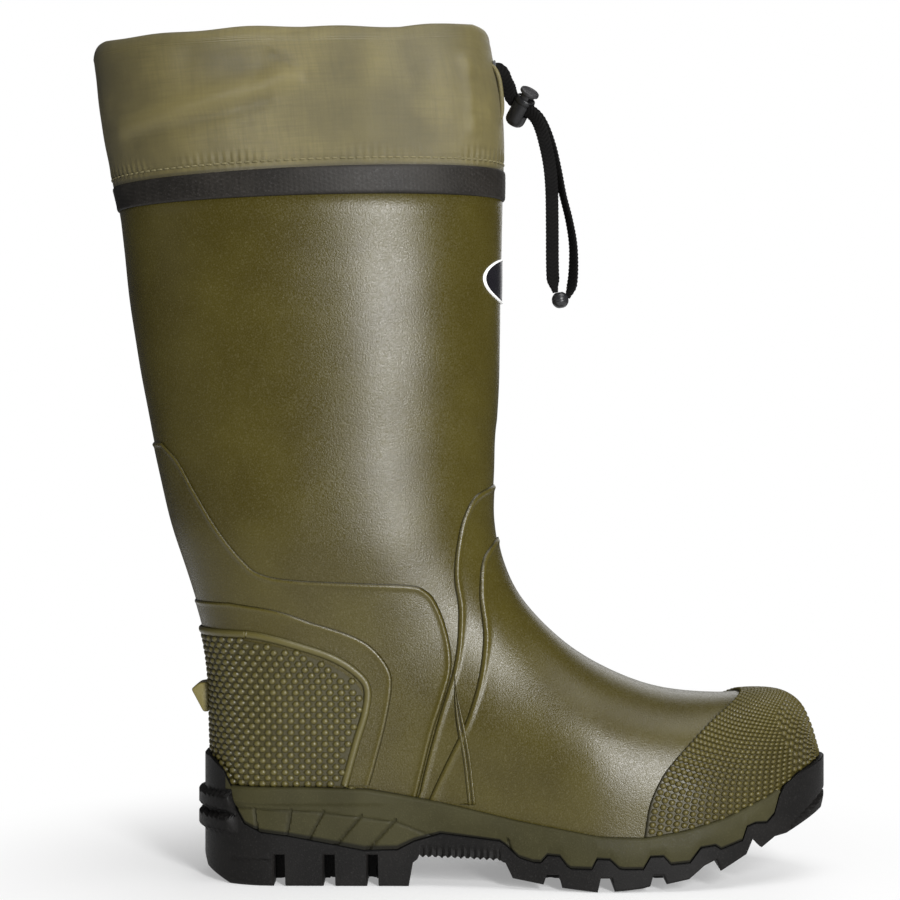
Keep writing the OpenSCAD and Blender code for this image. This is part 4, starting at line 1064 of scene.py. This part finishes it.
for i, one_u in enumerate(columns):
    here = cap_point(-1.0, one_u, levels, CAP_O)
    gap = 2 * np.linalg.norm(np.gradient(here, axis=0), axis=1)
    for k in range(i % 2, len(levels), 2):
        thin = gap[k] < 1.9 and (k // 2) % 2
        if not thin and levels[k] < 177:
            spots += [(sign, one_u, levels[k], gap[k] * (2 if gap[k] < 1.9 else 1)) for sign in (-1.0, 1.0)]
side, su, sa, gap = np.array(spots).T
centre = cap_point(side, su, sa, CAP_O)
step_u = cap_point(side, su - 0.004, sa, CAP_O) - centre
step_a = cap_point(side, su, sa + 0.4, CAP_O) - centre
normal = np.cross(step_u, step_a)
normal = np.where(((centre - [110, 0, 40]) * normal).sum(axis=1, keepdims=True) < 0, -normal, normal)
wide = np.full(len(su), 1.9)
sizes = (wide, np.clip(gap * 0.5, 0.4, 1.7))
studs("toe_cap_studs", centre, normal, step_u, sizes, 1.25, "cap_rubber")

# ---- sole ----
def plan_point(side, u, o):
    """Point of the sole's outline, o outside the shell; u runs from 0 at the heel to 1 at the toe."""
    x = mix(curve(REAR, 40) - o, TOE_X + o, u)
    y = foot_w(side, x) + o
    y = y * cap((x - curve(REAR, 40) + o) / (curve(REAR_ROUND, 40) + o), 2.3) * toe_taper(x, o)
    return x, side * y


def slices(low, high, step, breaks):
    """Shares of the sole's length: rounded ends, even steps between, and each break doubled."""
    base = curve(REAR, 40) - SOLE_LEDGE
    span = TOE_X + SOLE_LEDGE - base
    a = np.linspace(0, np.pi, 180)
    even = np.arange(low, high, step)
    marks = np.concatenate([even, base + span * (1 - np.cos(a)) / 2, breaks, np.add(breaks, 0.02)])
    marks = marks[(marks >= low) & (marks <= high)]
    return (np.unique(np.round(marks, 3)) - base) / span


def line_distance(x, z, line):
    """Distance to a line of straight stretches in the side view."""
    best = np.full(np.broadcast(x, z).shape, 1e9)
    for (x1, z1), (x2, z2) in zip(line, line[1:]):
        dx, dz = x2 - x1, z2 - z1
        t = np.clip(((x - x1) * dx + (z - z1) * dz) / (dx * dx + dz * dz), 0, 1)
        best = np.minimum(best, np.hypot(x - x1 - t * dx, z - z1 - t * dz))
    return best


def groove(x, z, line, width, depth):
    """Depth of a round-bottomed groove along a line in the side view."""
    best = line_distance(x, z, line)
    return depth * np.sqrt(np.clip(1 - (best / (width / 2)) ** 2, 0, 1))


def ramp_in(v, low, high):
    return ease((v - low) / (high - low))


def box_hump(v, low, high, soft):
    return ramp_in(v, low, low + soft) * (1 - ramp_in(v, high - soft, high))


def heel_ribs(x, z):
    """Proud ribs round the back of the heel."""
    back = 1 - ramp_in(x, -111, -107)
    return back * 3.0 * (box_hump(z, 24.5, 33.5, 1.6) + box_hump(z, 34.8, 44, 1.6))


def tread_side(x, z):
    """How far the outsole's wall stands out of, or is cut below, its plain outline."""
    wave = np.abs(((x + 20) / 3.1) % 1 - 0.5) * 2
    arch = box_hump(x, -20, 19.5, 1.0) * (1 - ramp_in(z, 17, 21))
    out = -0.9 * arch * (1 - wave)
    toe = ramp_in(x, 150, 153)
    out = out - toe * groove(x, z, [(162, 27.5), (184, 43.5)], 2.6, 2.0)
    out = out + toe * 0.9 * np.exp(-(((z - 26.5 + (x - 166) * -0.5) / 1.4) ** 2)) * (1 - ramp_in(x, 165, 168))
    out = out - box_hump(x, -112, -86, 2) * groove(x, z, [(-111, 12.6), (-92, 12.6)], 1.0, 0.5)
    return out + heel_ribs(x, z)


WALL_STEPS = np.linspace(0, 1, 34)
breaks = [x for x, z in UNDER] + [x + 0.3 for x, z in UNDER]
u = slices(curve(REAR, 40) - SOLE_LEDGE, TOE_X + SOLE_LEDGE, 0.92, breaks)
x5, _ = plan_point(1.0, u, SOLE_LEDGE)
ledges = np.array([0.3, 2.2, 4.0, 4.6, 4.9])
halves = []
for side in (-1.0, 1.0):
    rows = []
    for o in ledges:
        x, y = plan_point(side, u, o)
        drop = 0.3 + 0.8 * max(0.0, (o - 4.0)) ** 2
        rows.append(np.stack([x, y, straight(SEAM, x) - drop], axis=1))
    teeth = 1.5 * box_hump(x5, -21, 20, 0.8) * np.abs(((x5 + 20) / 3.1) % 1 - 0.5) * 2
    top = straight(SEAM, x5) - 1.1
    foot = straight(UNDER, x5) + 1.0 + teeth
    for t in WALL_STEPS:
        z = mix(top, foot, t)
        x, y = plan_point(side, u, SOLE_LEDGE)
        push = tread_side(x, z)
        x, y = plan_point(side, u, SOLE_LEDGE + push)
        rows.append(np.stack([x, y, z], axis=1))
    for inset, up in ((0.12, 0.6), (0.4, 0.25), (0.9, 0.06)):
        x, y = plan_point(side, u, SOLE_LEDGE - inset)
        rows.append(np.stack([x, y, straight(UNDER, x5) + up + teeth], axis=1))
    halves.append(rows)
ACROSS = np.linspace(-1, 1, 71)
edge_x, left = plan_point(-1.0, u, SOLE_LEDGE - 1.4)
_, right = plan_point(1.0, u, SOLE_LEDGE - 1.4)
bottom = []
ground = straight(UNDER, x5) + teeth
LUGS = [(-101, -33), (26, 41), (47, 66), (72, 91), (97, 112), (124, 140)]
for s in ACROSS:
    y = mix(left, right, (s + 1) / 2)
    z = ground.copy()
    channel = np.zeros(len(u))
    for low, high in LUGS:
        inside = (edge_x > low) & (edge_x < high)
        middle = 3.2 + 1.5 * np.sin((edge_x - low) / (high - low) * np.pi)
        channel = np.maximum(channel, inside * ramp_in(middle - np.abs(y), -0.4, 0.4))
        cut = np.abs(np.abs(y) - 20 - 4 * np.sin((edge_x - low) * 0.35)) < 1.1
        channel = np.maximum(channel, 0.55 * (inside & cut & (high - low > 14)))
    inner = ramp_in(0.66 - np.abs(s), -0.015, 0.015)
    heel = ((edge_x > -90.95) & (edge_x < -84.55)) | ((edge_x > -66.75) & (edge_x < -60.45))
    heel = heel | ((edge_x > -45.55) & (edge_x < -39.65))
    fore = ((edge_x > 39.7) & (edge_x < 48.5)) | ((edge_x > 65.3) & (edge_x < 73.5))
    fore = fore | ((edge_x > 90.3) & (edge_x < 98.5))
    z = np.where(heel, mix(z, 0.9, inner), z)
    z = np.where(fore, mix(z, np.minimum(z, 2.6), inner), z)
    z = np.where(z < 6, np.maximum(z, 6.5 * channel), z)
    z = z + 0.5 * np.maximum(0, np.sin(0.9 * edge_x) * np.sin(0.9 * y)) * (ground > 6)
    bottom.append(np.stack([edge_x, y, z], axis=1))
ring = halves[0] + bottom + halves[1][::-1]
grid = np.stack(ring, axis=1)
top_left, top_right = grid[:, 0], grid[:, -1]
for t in (0.25, 0.5, 0.75):
    grid = np.concatenate([grid, mix(top_right, top_left, t)[:, None]], axis=1)
cols = grid.shape[1]
rows = grid.shape[0]
dark = np.zeros(grid.shape[:2])
highlight = np.zeros(grid.shape[:2])
# Painted shade along the seam under the midsole, and a painted highlight along the bevel of the bottom edge
dark[:, 2:5] = 1.0
highlight[:, 5 + len(WALL_STEPS):8 + len(WALL_STEPS)] = 0.3
sole = add_mesh("outsole_rubber", grid, grid_faces(rows, cols, True), "black_rubber", stands_for=["outsole"],
                crevice=dark.ravel(), wear=highlight.ravel())
weld(sole, 0.02)
sole.data.set_sharp_from_angle(angle=math.radians(32))

# Midsole: a cup along each side, from the seam up to its rounded top and in to the upper
CUTS = [
    [(-99.8, 37), (-98.5, 25)], [(-82, 36.5), (-84.5, 22.5)], [(-66.3, 36), (-74, 22)],
    [(-48, 34), (-61, 19)], [(-31.4, 32), (-45, 17.5)],
]
PANEL = [(-110, 37.4), (-70, 35.6), (-31, 30.8), (-20, 26.5), (-14, 24.6)]
CREASE = [(22.5, 24), (25.5, 14), (27, 9)]
u = slices(-113.5, 156, 0.8, [x for x, z in SEAM])
midsole = []
for side in (-1.0, 1.0):
    rows, marks = [], []
    x, y = plan_point(side, u, SOLE_LEDGE)
    low = straight(SEAM, x)
    high = straight(TOP_LINE, x)
    fade = ramp_in(high - low, 1.5, 8)
    for t in np.concatenate([[0, 0.02, 0.05, 0.1], np.linspace(0.15, 1, 34)]):
        z = mix(low - 0.2, high - 1.6, t)
        cut = np.zeros(len(u))
        for line in CUTS:
            cut = np.maximum(cut, groove(x, z, line, 1.7, 0.8))
        cut = np.maximum(cut, groove(x, z, PANEL, 1.2, 0.5))
        cut = np.maximum(cut, groove(x, z, CREASE, 1.6, 0.9))
        swell = 0.7 * fade * np.sin(np.clip(t, 0, 1) * np.pi) * ramp_in(x, -30, 10)
        lean = 0.8 * ramp_in(z, 38.5, 40) * (1 - ramp_in(x, -50, -30))
        xx, yy = plan_point(side, u, SOLE_LEDGE - 0.35 + swell + lean - cut * fade)
        rows.append(np.stack([xx, yy, z], axis=1))
        # Painted shade in the grooves and along the foot of the wall at the seam
        marks.append(np.maximum(cut * 0.55, 1.0 * (t < 0.06)))
    for inset, up in ((0.0, 1.3), (0.3, 0.7), (0.8, 0.25), (1.5, 0.02), (3.4, 0), (5.2, 0.1)):
        xx, yy = plan_point(side, u, SOLE_LEDGE - 0.35 + 0.8 * (1 - ramp_in(x, -50, -30)) - inset)
        rows.append(np.stack([xx, yy, high - up], axis=1))
        # Painted shade on the innermost rows of the top, where it meets the upper
        marks.append(np.full(len(u), 0.75 if inset > 3 else 0))
    midsole.append((np.stack(rows, axis=1), np.stack(marks, axis=1)))
points, faces, dark, count = [], [], [], 0
for (grid, marks), flip in zip(midsole, (1, -1)):
    faces.append(grid_faces(*grid.shape[:2])[:, ::flip] + count)
    count += grid.shape[0] * grid.shape[1]
    points.append(grid.reshape(-1, 3))
    dark.append(marks.ravel())
add_joined("midsole_walls", points, faces, "sole_olive", ["midsole"],
         sharp=40, crevice=np.concatenate(dark))

# ---- kick spur: a bevelled block ----
SPUR = [[-124.6, 80.2], [-127.4, 80], [-133.5, 91.4], [-130, 94.2], [-124.7, 95.2]]


def rounded_outline(corners, r, n=5):
    """Corners replaced by small arcs."""
    corners = np.array(corners, float)
    out = []
    for i, p in enumerate(corners):
        a = p + unit(corners[i - 1] - p) * r
        b = p + unit(corners[(i + 1) % len(corners)] - p) * r
        for t in np.linspace(0, 1, n):
            out.append(mix(mix(a, p, t), mix(p, b, t), t))
    return np.array(out)


edge = rounded_outline(SPUR, 1.1)
middle = edge.mean(axis=0)
rings = []
for y, shrink in [(-8, 0.84), (-7.85, 0.93), (-7.4, 0.985), (-6.8, 1), (-3.5, 1), (0, 1), (3.5, 1), (6.8, 1),
                  (7.4, 0.985), (7.85, 0.93), (8, 0.84)]:
    loop = middle + (edge - middle) * shrink
    rings.append(np.stack([loop[:, 0], np.full(len(loop), y), loop[:, 1]], axis=1))
points, faces = capped(np.array(rings))
add_mesh("kick_spur_block", points, faces, "spur_rubber", stands_for=["kick_spur"], sharp=50)

# ---- badge: domed blank oval in a raised rim ----
BADGE_Z = 294
BADGE_A = 25.5
BADGE_H = 22


def badge_grid(scales, heights, n=120):
    t = np.radians(np.arange(n) * 360 / n + 0.5)
    rows = []
    for k, o in zip(scales, heights):
        a = BADGE_A * (1 - (1 - k) * 0.5) * np.cos(t)
        z = BADGE_Z + k * BADGE_H / 2 * np.sin(t)
        rows.append(leg_point(np.where(a < 0, -1.0, 1.0), z, 0, np.abs(a), o))
    return np.array(rows)


grid = badge_grid([1.01, 1.005, 0.995, 0.98, 0.95, 0.93, 0.92, 0.915],
                  [-0.1, 0.5, 0.85, 0.98, 0.98, 0.85, 0.6, 0.3])
add_grid("badge_border", grid, "badge_white", ["badge_rim"], closed=True)
grid = badge_grid([0.925, 0.918, 0.905, 0.88, 0.8, 0.6, 0.35, 0.1, 0.002],
                  [0.2, 0.45, 0.62, 0.7, 0.72, 0.75, 0.8, 0.82, 0.82])
add_grid("badge_face", grid, "badge_black", ["badge"], closed=True)

# ---- band ----
side, a = ring_columns(420)
levels = [(0, -0.1), (0.02, 0.7), (0.06, 1.05), (0.12, 1.2), (0.3, 1.22), (0.5, 1.25),
          (0.7, 1.22), (0.88, 1.2), (0.94, 1.05), (0.98, 0.7), (1, -0.1)]
fine = [(t, np.interp(t, [k for k, _ in levels], [o for _, o in levels])) for t in
        sorted(set([k for k, _ in levels] + list(np.round(np.linspace(0.12, 0.88, 24), 3))))]
rows, dark = [], []
for t, o in fine:
    z = BAND_Z + t * BAND_H
    flat = leg_point(side, z, mix(0.03, 0.045, t), a, o)
    x, y = flat[:, 0], flat[:, 1]
    grain = np.sin(1.9 * x + 1.1 * y + 1.6 * z) * np.sin(0.8 * y - 1.3 * z + 0.7 * x)
    hold = float(0.1 <= t <= 0.9)
    rows.append(leg_point(side, z, mix(0.03, 0.045, t), a, o + 0.05 * grain * hold))
    # Painted shade in the dips of the grain and along the band's top and bottom edges
    dark.append(np.clip(-grain, 0, 1) * 0.5 * hold + (0.9 if t in (0, 1) else 0))
grid = np.array(rows)
add_grid("band_strip", grid, "band_rubber", ["top_band"], closed=True,
         crevice=np.array(dark).ravel())

# ---- collar: one cloth, folded over at the rim and down inside as the hem ----
RIM_LINE = [
    [-190, 409.2], [-182, 409.6], [-174, 410.6], [-138, 410.8], [-75, 411.6], [-29, 413.8],
    [-10, 416.4], [6, 419.2], [14, 418.2], [25, 417.5],
]
DEEP = RUBBER_T + LINER_T
# Folds of the cuff: side, line in the side view, half-width, height
FOLDS = [
    (-1, [(-163, 366.7), (-130, 374.5), (-96, 382.5), (-78, 388.5)], 5.5, 0.75),
    (-1, [(-158, 361), (-120, 369), (-92, 376)], 4.0, -0.35),
    (-1, [(-90, 397), (-80, 392), (-74, 388)], 3.4, -0.45),
    (-1, [(-128, 399), (-98, 391)], 9.5, -0.6),
    (-1, [(6.5, 391), (7.8, 382), (7.2, 374)], 3.2, -0.3),
    (-1, [(3, 399), (6, 385), (5.5, 366)], 3.5, 0.5),
    (-1, [(-40, 398), (-46, 380), (-44, 362)], 8.0, 0.3),
    (-1, [(-20, 356), (-24, 372), (-22, 390)], 6.0, -0.25),
    (1, [(-150, 398), (-128, 384), (-118, 368)], 5.0, 0.55),
    (1, [(-140, 394), (-121, 380), (-112, 368)], 4.0, -0.5),
    (1, [(-70, 396), (-64, 386), (-66, 372)], 3.5, -0.7),
    (1, [(-30, 372), (-12, 378), (4, 390)], 4.5, 0.45),
    (1, [(8, 392), (9, 376)], 2.4, -0.6),
]


def cuff_relief(side, x, z, around):
    """How far the cuff's cloth stands in or out of its plain shape."""
    out = 0.28 * np.sin(0.052 * x + 0.9 * side + 0.03 * z) * np.sin(0.085 * z + 0.02 * x + side)
    out = out + 0.12 * np.sin(0.16 * x - 0.11 * z + side) * np.sin(0.07 * x + 0.19 * z)
    for which, line, width, height in FOLDS:
        near = 2.2 * height * np.exp(-((line_distance(x, z, line) / width) ** 2))
        out = out + np.where(side == which, near, 0)
    level = z - RIM_TILT * 0.7 * (x - LEG_X)
    stitched = np.exp(-(((level - 348.2) / 1.3) ** 2))
    strength = 0.17 + 0.13 * np.sin(around / 11) + 0.08 * np.sin(around / 4.7 + 1)
    pucker = strength * np.cos(2 * np.pi * around / 3.8) * np.exp(-(((level - 350) / 3.2) ** 2))
    folds = np.maximum(out, -1.3) * ramp_in(level, 346, 358) * (1 - 0.6 * ramp_in(level, 398, 411))
    return folds - 0.3 * stitched + pucker


COLLAR_COLS = 300
side, a = ring_columns(COLLAR_COLS)
around_ring = leg_point(side, 375, band_tilt(375), a, 0)
steps = np.linalg.norm(np.diff(around_ring, axis=0, append=around_ring[:1]), axis=1)
around = np.cumsum(steps) - steps[0]
rows, cloth, dark, highlight = [], [], [], []
levels = list(np.linspace(340, 352, 15)) + list(np.linspace(352.8, 404, 62))


def cuff_point(z, o):
    flat = leg_point(side, z, band_tilt(z), a, o)
    lift = straight(RIM_LINE, flat[:, 0]) - (RIM_Z + RIM_TILT * (flat[:, 0] - LEG_X))
    flat[:, 2] += lift * ramp_in(z, 372, 409)
    return flat


up = 0.0
for z in levels:
    flat = cuff_point(z, 0)
    relief = cuff_relief(side, flat[:, 0], flat[:, 2], around)
    rows.append(cuff_point(z, 0.35 + relief))
    cloth.append((around, z))
    # Painted shade where the cloth meets the band's top edge and in the hollows of the folds; painted
    # highlight on the ridges of the folds
    dark.append(np.maximum(0.85 * (1 - ramp_in(z, 345.2, 346.4)), np.clip(-0.3 * relief, 0, 0.4)))
    highlight.append(np.clip(0.3 * relief, 0, 0.35))
fold_r = DEEP / 2 - 0.1
for t in np.linspace(0, 180, 19)[1:-1]:
    k = math.radians(t)
    puff = 1 + 0.06 * np.sin(around / 17) + 0.05 * np.sin(around / 7.3 + 1)
    o = -fold_r + (fold_r + 0.35) * math.cos(k)
    point = cuff_point(407, o)
    point[:, 2] += -3.0 + (RIM_Z - 404) * math.sin(k) ** 0.8 * puff / 1.03
    rows.append(point)
    cloth.append((around, 404 + 9 * t / 180))
    dark.append(0 * around)
for z in np.linspace(404, RIM_Z - HEM_H, 22):
    ripple = 0.25 * np.sin(around / 9 + z / 11) + 0.2 * np.sin(around / 21)
    seam = np.exp(-(((z - (RIM_Z - HEM_H + 3)) / 0.8) ** 2))
    rows.append(cuff_point(z, -DEEP + 0.1 * ripple + 0.5 * seam))
    cloth.append((around, 818 - z))
    # Painted shade along the hem's seam
    dark.append(0.4 * seam + 0 * around)
HEM_END = RIM_Z - HEM_H
for o, z in ((-DEEP + 0.25, HEM_END - 0.5), (-DEEP + 0.9, HEM_END - 0.5), (-DEEP + 1.2, HEM_END + 1)):
    rows.append(cuff_point(z, o))
    cloth.append((around, 818 - z))
    # Painted shade at the turned-in end of the hem
    dark.append(0.6 + 0 * around)
grid = np.array(rows)
highlight = np.concatenate([highlight, np.zeros((len(rows) - len(highlight), len(around)))])
cloth = np.array([[(u, v, 0) for u in line] for line, v in cloth])
collar = add_grid("cuff_cloth", grid, "collar_cloth", ["collar"], closed=True,
                  crevice=np.array(dark).ravel(), wear=highlight.ravel(), cloth=cloth.reshape(-1, 3))

# Stitches just above the band, each a short run of thread between two needle holes
STITCH = 3.8
side_f, a_f = ring_columns(900)
line_z = BAND_Z + BAND_H + 3.5
base_line = leg_point(side_f, line_z, band_tilt(line_z), a_f, 0.12)
out_line = unit(leg_point(side_f, line_z, band_tilt(line_z), a_f, 1.12) - base_line)
run = np.concatenate([[0], np.cumsum(np.linalg.norm(np.diff(base_line, axis=0), axis=1))])
count = int(run[-1] / STITCH)
points, faces = [], []
for i in range(count):
    at = (i + 0.5 + np.linspace(-0.4, 0.4, 9)) * run[-1] / count
    spine = np.stack([np.interp(at, run, base_line[:, k]) for k in range(3)], axis=1)
    out = np.stack([np.interp(at, run, out_line[:, k]) for k in range(3)], axis=1)
    hump = np.sqrt(np.clip(1 - np.linspace(-1, 1, 9) ** 4, 0.02, 1))[:, None]
    spine = spine + out * (0.42 * hump - 0.2)
    along = unit(np.gradient(spine, axis=0))
    across = unit(np.cross(along, out))
    section = round_section(0.46, 8)
    around_spine = across[:, None] * section[None, :, :1] + out[:, None] * section[None, :, 1:]
    rings = spine[:, None] + hump[:, None] * around_spine
    p, f = capped(rings)
    faces.append(f + sum(len(q) for q in points))
    points.append(p)
add_joined("cuff_stitches", points, faces, "thread", ["collar_stitching"])

# ---- cord outlets, the lip beside them, and the hidden run of the cord ----
points, faces = [], []
for y in (-7, 7):
    t = np.radians(np.arange(0, 360, 6))
    r = CORD_T / 2 + 0.8
    dz = r * np.cos(t) + np.sign(np.cos(t)) * (CORD_W - CORD_T) / 2
    loop = np.stack([np.full(len(t), 17.0), y + r * np.sin(t), 399 + dz], axis=1)
    out = unit(loop - [17.0, y, 399])
    out[:, 0] = 0
    section = np.array([[0.5 * math.cos(k), 0.68 * math.sin(k)] for k in np.radians(np.arange(0, 360, 30))])
    ridge = 1 + 0.07 * np.cos(10 * t)[:, None]
    rings = loop[:, None] + out[:, None] * section[None, :, :1] * ridge[..., None]
    rings = rings + np.array([1.0, 0, 0]) * section[None, :, 1:]
    p, f = capped(rings, True)
    faces.append(f + sum(len(q) for q in points))
    points.append(p)
add_joined("outlet_bindings", points, faces, "neoprene", ["cord_outlets"])
LIP = [(14.5, -9.8, 401.5), (17.2, -9.9, 399), (19.3, -9.5, 394), (20.4, -9.0, 387),
       (20.9, -8.6, 380), (20.6, -8.5, 374)]
spine = resample(smooth_route(np.array(LIP, float)), 0.5)
thick = 1.15 * np.sqrt(np.clip(1 - np.abs(np.linspace(-1, 1, len(spine))) ** 5, 0.03, 1))
rings = tube_rings(spine, round_section(1, 16), up=(1, 0, 0))
rings = spine[:, None] + (rings - spine[:, None]) * thick[:, None, None]
points, faces = capped(rings)
strand = np.arange(len(spine) + 2) * 0.5
lip_cloth = np.stack(np.broadcast_arrays(np.arange(16)[None] * 0.45, strand[:, None], 0.0), axis=-1)
add_mesh("outlet_lip", points, faces, "collar_cloth", cloth=lip_cloth.reshape(-1, 3))
HEM_CORD_Z = 399 - RIM_TILT * (17.5 - LEG_X)
half = leg_point(-1.0, HEM_CORD_Z, RIM_TILT, np.linspace(9, 180, 200), -DEEP / 2)
other = leg_point(1.0, HEM_CORD_Z, RIM_TILT, np.linspace(180, 9, 200), -DEEP / 2)
path = resample(np.concatenate([half, other[1:]]), 0.9)
t = unit(np.gradient(path, axis=0))
upward = unit(np.cross(np.cross(t, np.broadcast_to([0, 0, 1.0], t.shape)), t))
braid("cord_in_hem", path, upward, np.cross(t, upward), stands_for=["drawcord_hem"])


# ---- inside: cuff lining, lasting board and footbed ----
def ring_wall(levels, outside, inside, n=120):
    side, a = ring_columns(n)
    outer = np.array([leg_point(side, z, band_tilt(z), a, outside) for z in levels])
    inner = np.array([leg_point(side, z, band_tilt(z), a, inside + 0.12 * np.sin(z * 1.3)) for z in levels])
    return shell(outer, inner)


lining_z = np.linspace(RIM_Z - HEM_H - 0.6, SHELL_TOP + 3.4, 26)
points, faces = ring_wall(lining_z, -CLOTH_T - GLUE, -DEEP + 0.15)
add_mesh("cuff_lining", points, faces, "neoprene", stands_for=["collar_lining"])
BOARD_Z = RUBBER_T + 0.6
BED_Z = RUBBER_T + LINER_T + 3 + 0.7
BED_INSET = -RUBBER_T - LINER_T - 4
FOOTBED_T = 5


def feather_slab(name, o, low, high, finish_name, stands_for, puff=0.0):
    """A layer that follows the feather line across the sole, with a rounded edge."""
    n = 150
    u = (1 - np.cos(np.linspace(0, np.pi, n))) / 2
    side = np.concatenate([-np.ones(31), np.ones(31)])
    reach = np.concatenate([np.linspace(1, 0, 31), np.linspace(0, 1, 31)])
    edge = (high - low) / 2
    skins = []
    for face in (1, -1):
        rows = []
        for one in u:
            inset = o - edge * 0.4
            x, y = plan_point(side, one, inset)
            y = y * reach
            rim = np.clip(1 - reach, 0, 1) * np.abs(y).max() / edge
            tip = np.clip(min(one, 1 - one) * 290 / edge, 0, 1)
            bulge = np.sqrt(1 - (1 - np.clip(rim, 0, 1)) ** 2) * math.sqrt(1 - (1 - tip) ** 2)
            middle = curve(FEATHER, x) + (low + high) / 2
            z = middle + face * edge * bulge
            if face > 0:
                quilt = np.sin(0.9 * x) * np.sin(0.9 * y) * 0.12
                z = z + puff * (quilt + 1.6 * reach ** 4 * (1 - ramp_in(x, -60, 20)))
            rows.append(np.stack(np.broadcast_arrays(x, y, z), axis=-1))
        skins.append(np.array(rows))
    points, faces = shell(skins[0], skins[1], closed=False)
    return add_mesh(name, points, faces, finish_name, stands_for=stands_for)


feather_slab("lasting_board", -RUBBER_T - 1.6, BOARD_Z, BOARD_Z + 2.4, "board", ["insole_board"])
bed = feather_slab("footbed_foam", BED_INSET, BED_Z, BED_Z + FOOTBED_T, "foam", ["footbed"])
feather_slab("footbed_top", BED_INSET, BED_Z + FOOTBED_T + GLUE, BED_Z + FOOTBED_T + 1, "footbed_cloth",
             ["footbed_cover"], puff=1.0)

# ---- hidden shank keeps its CAD shape and gets its steel ----
shank = bpy.data.objects["shank"]
shank.data.materials.clear()
shank.data.materials.append(FINISHES["spring_steel"])

low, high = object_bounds()
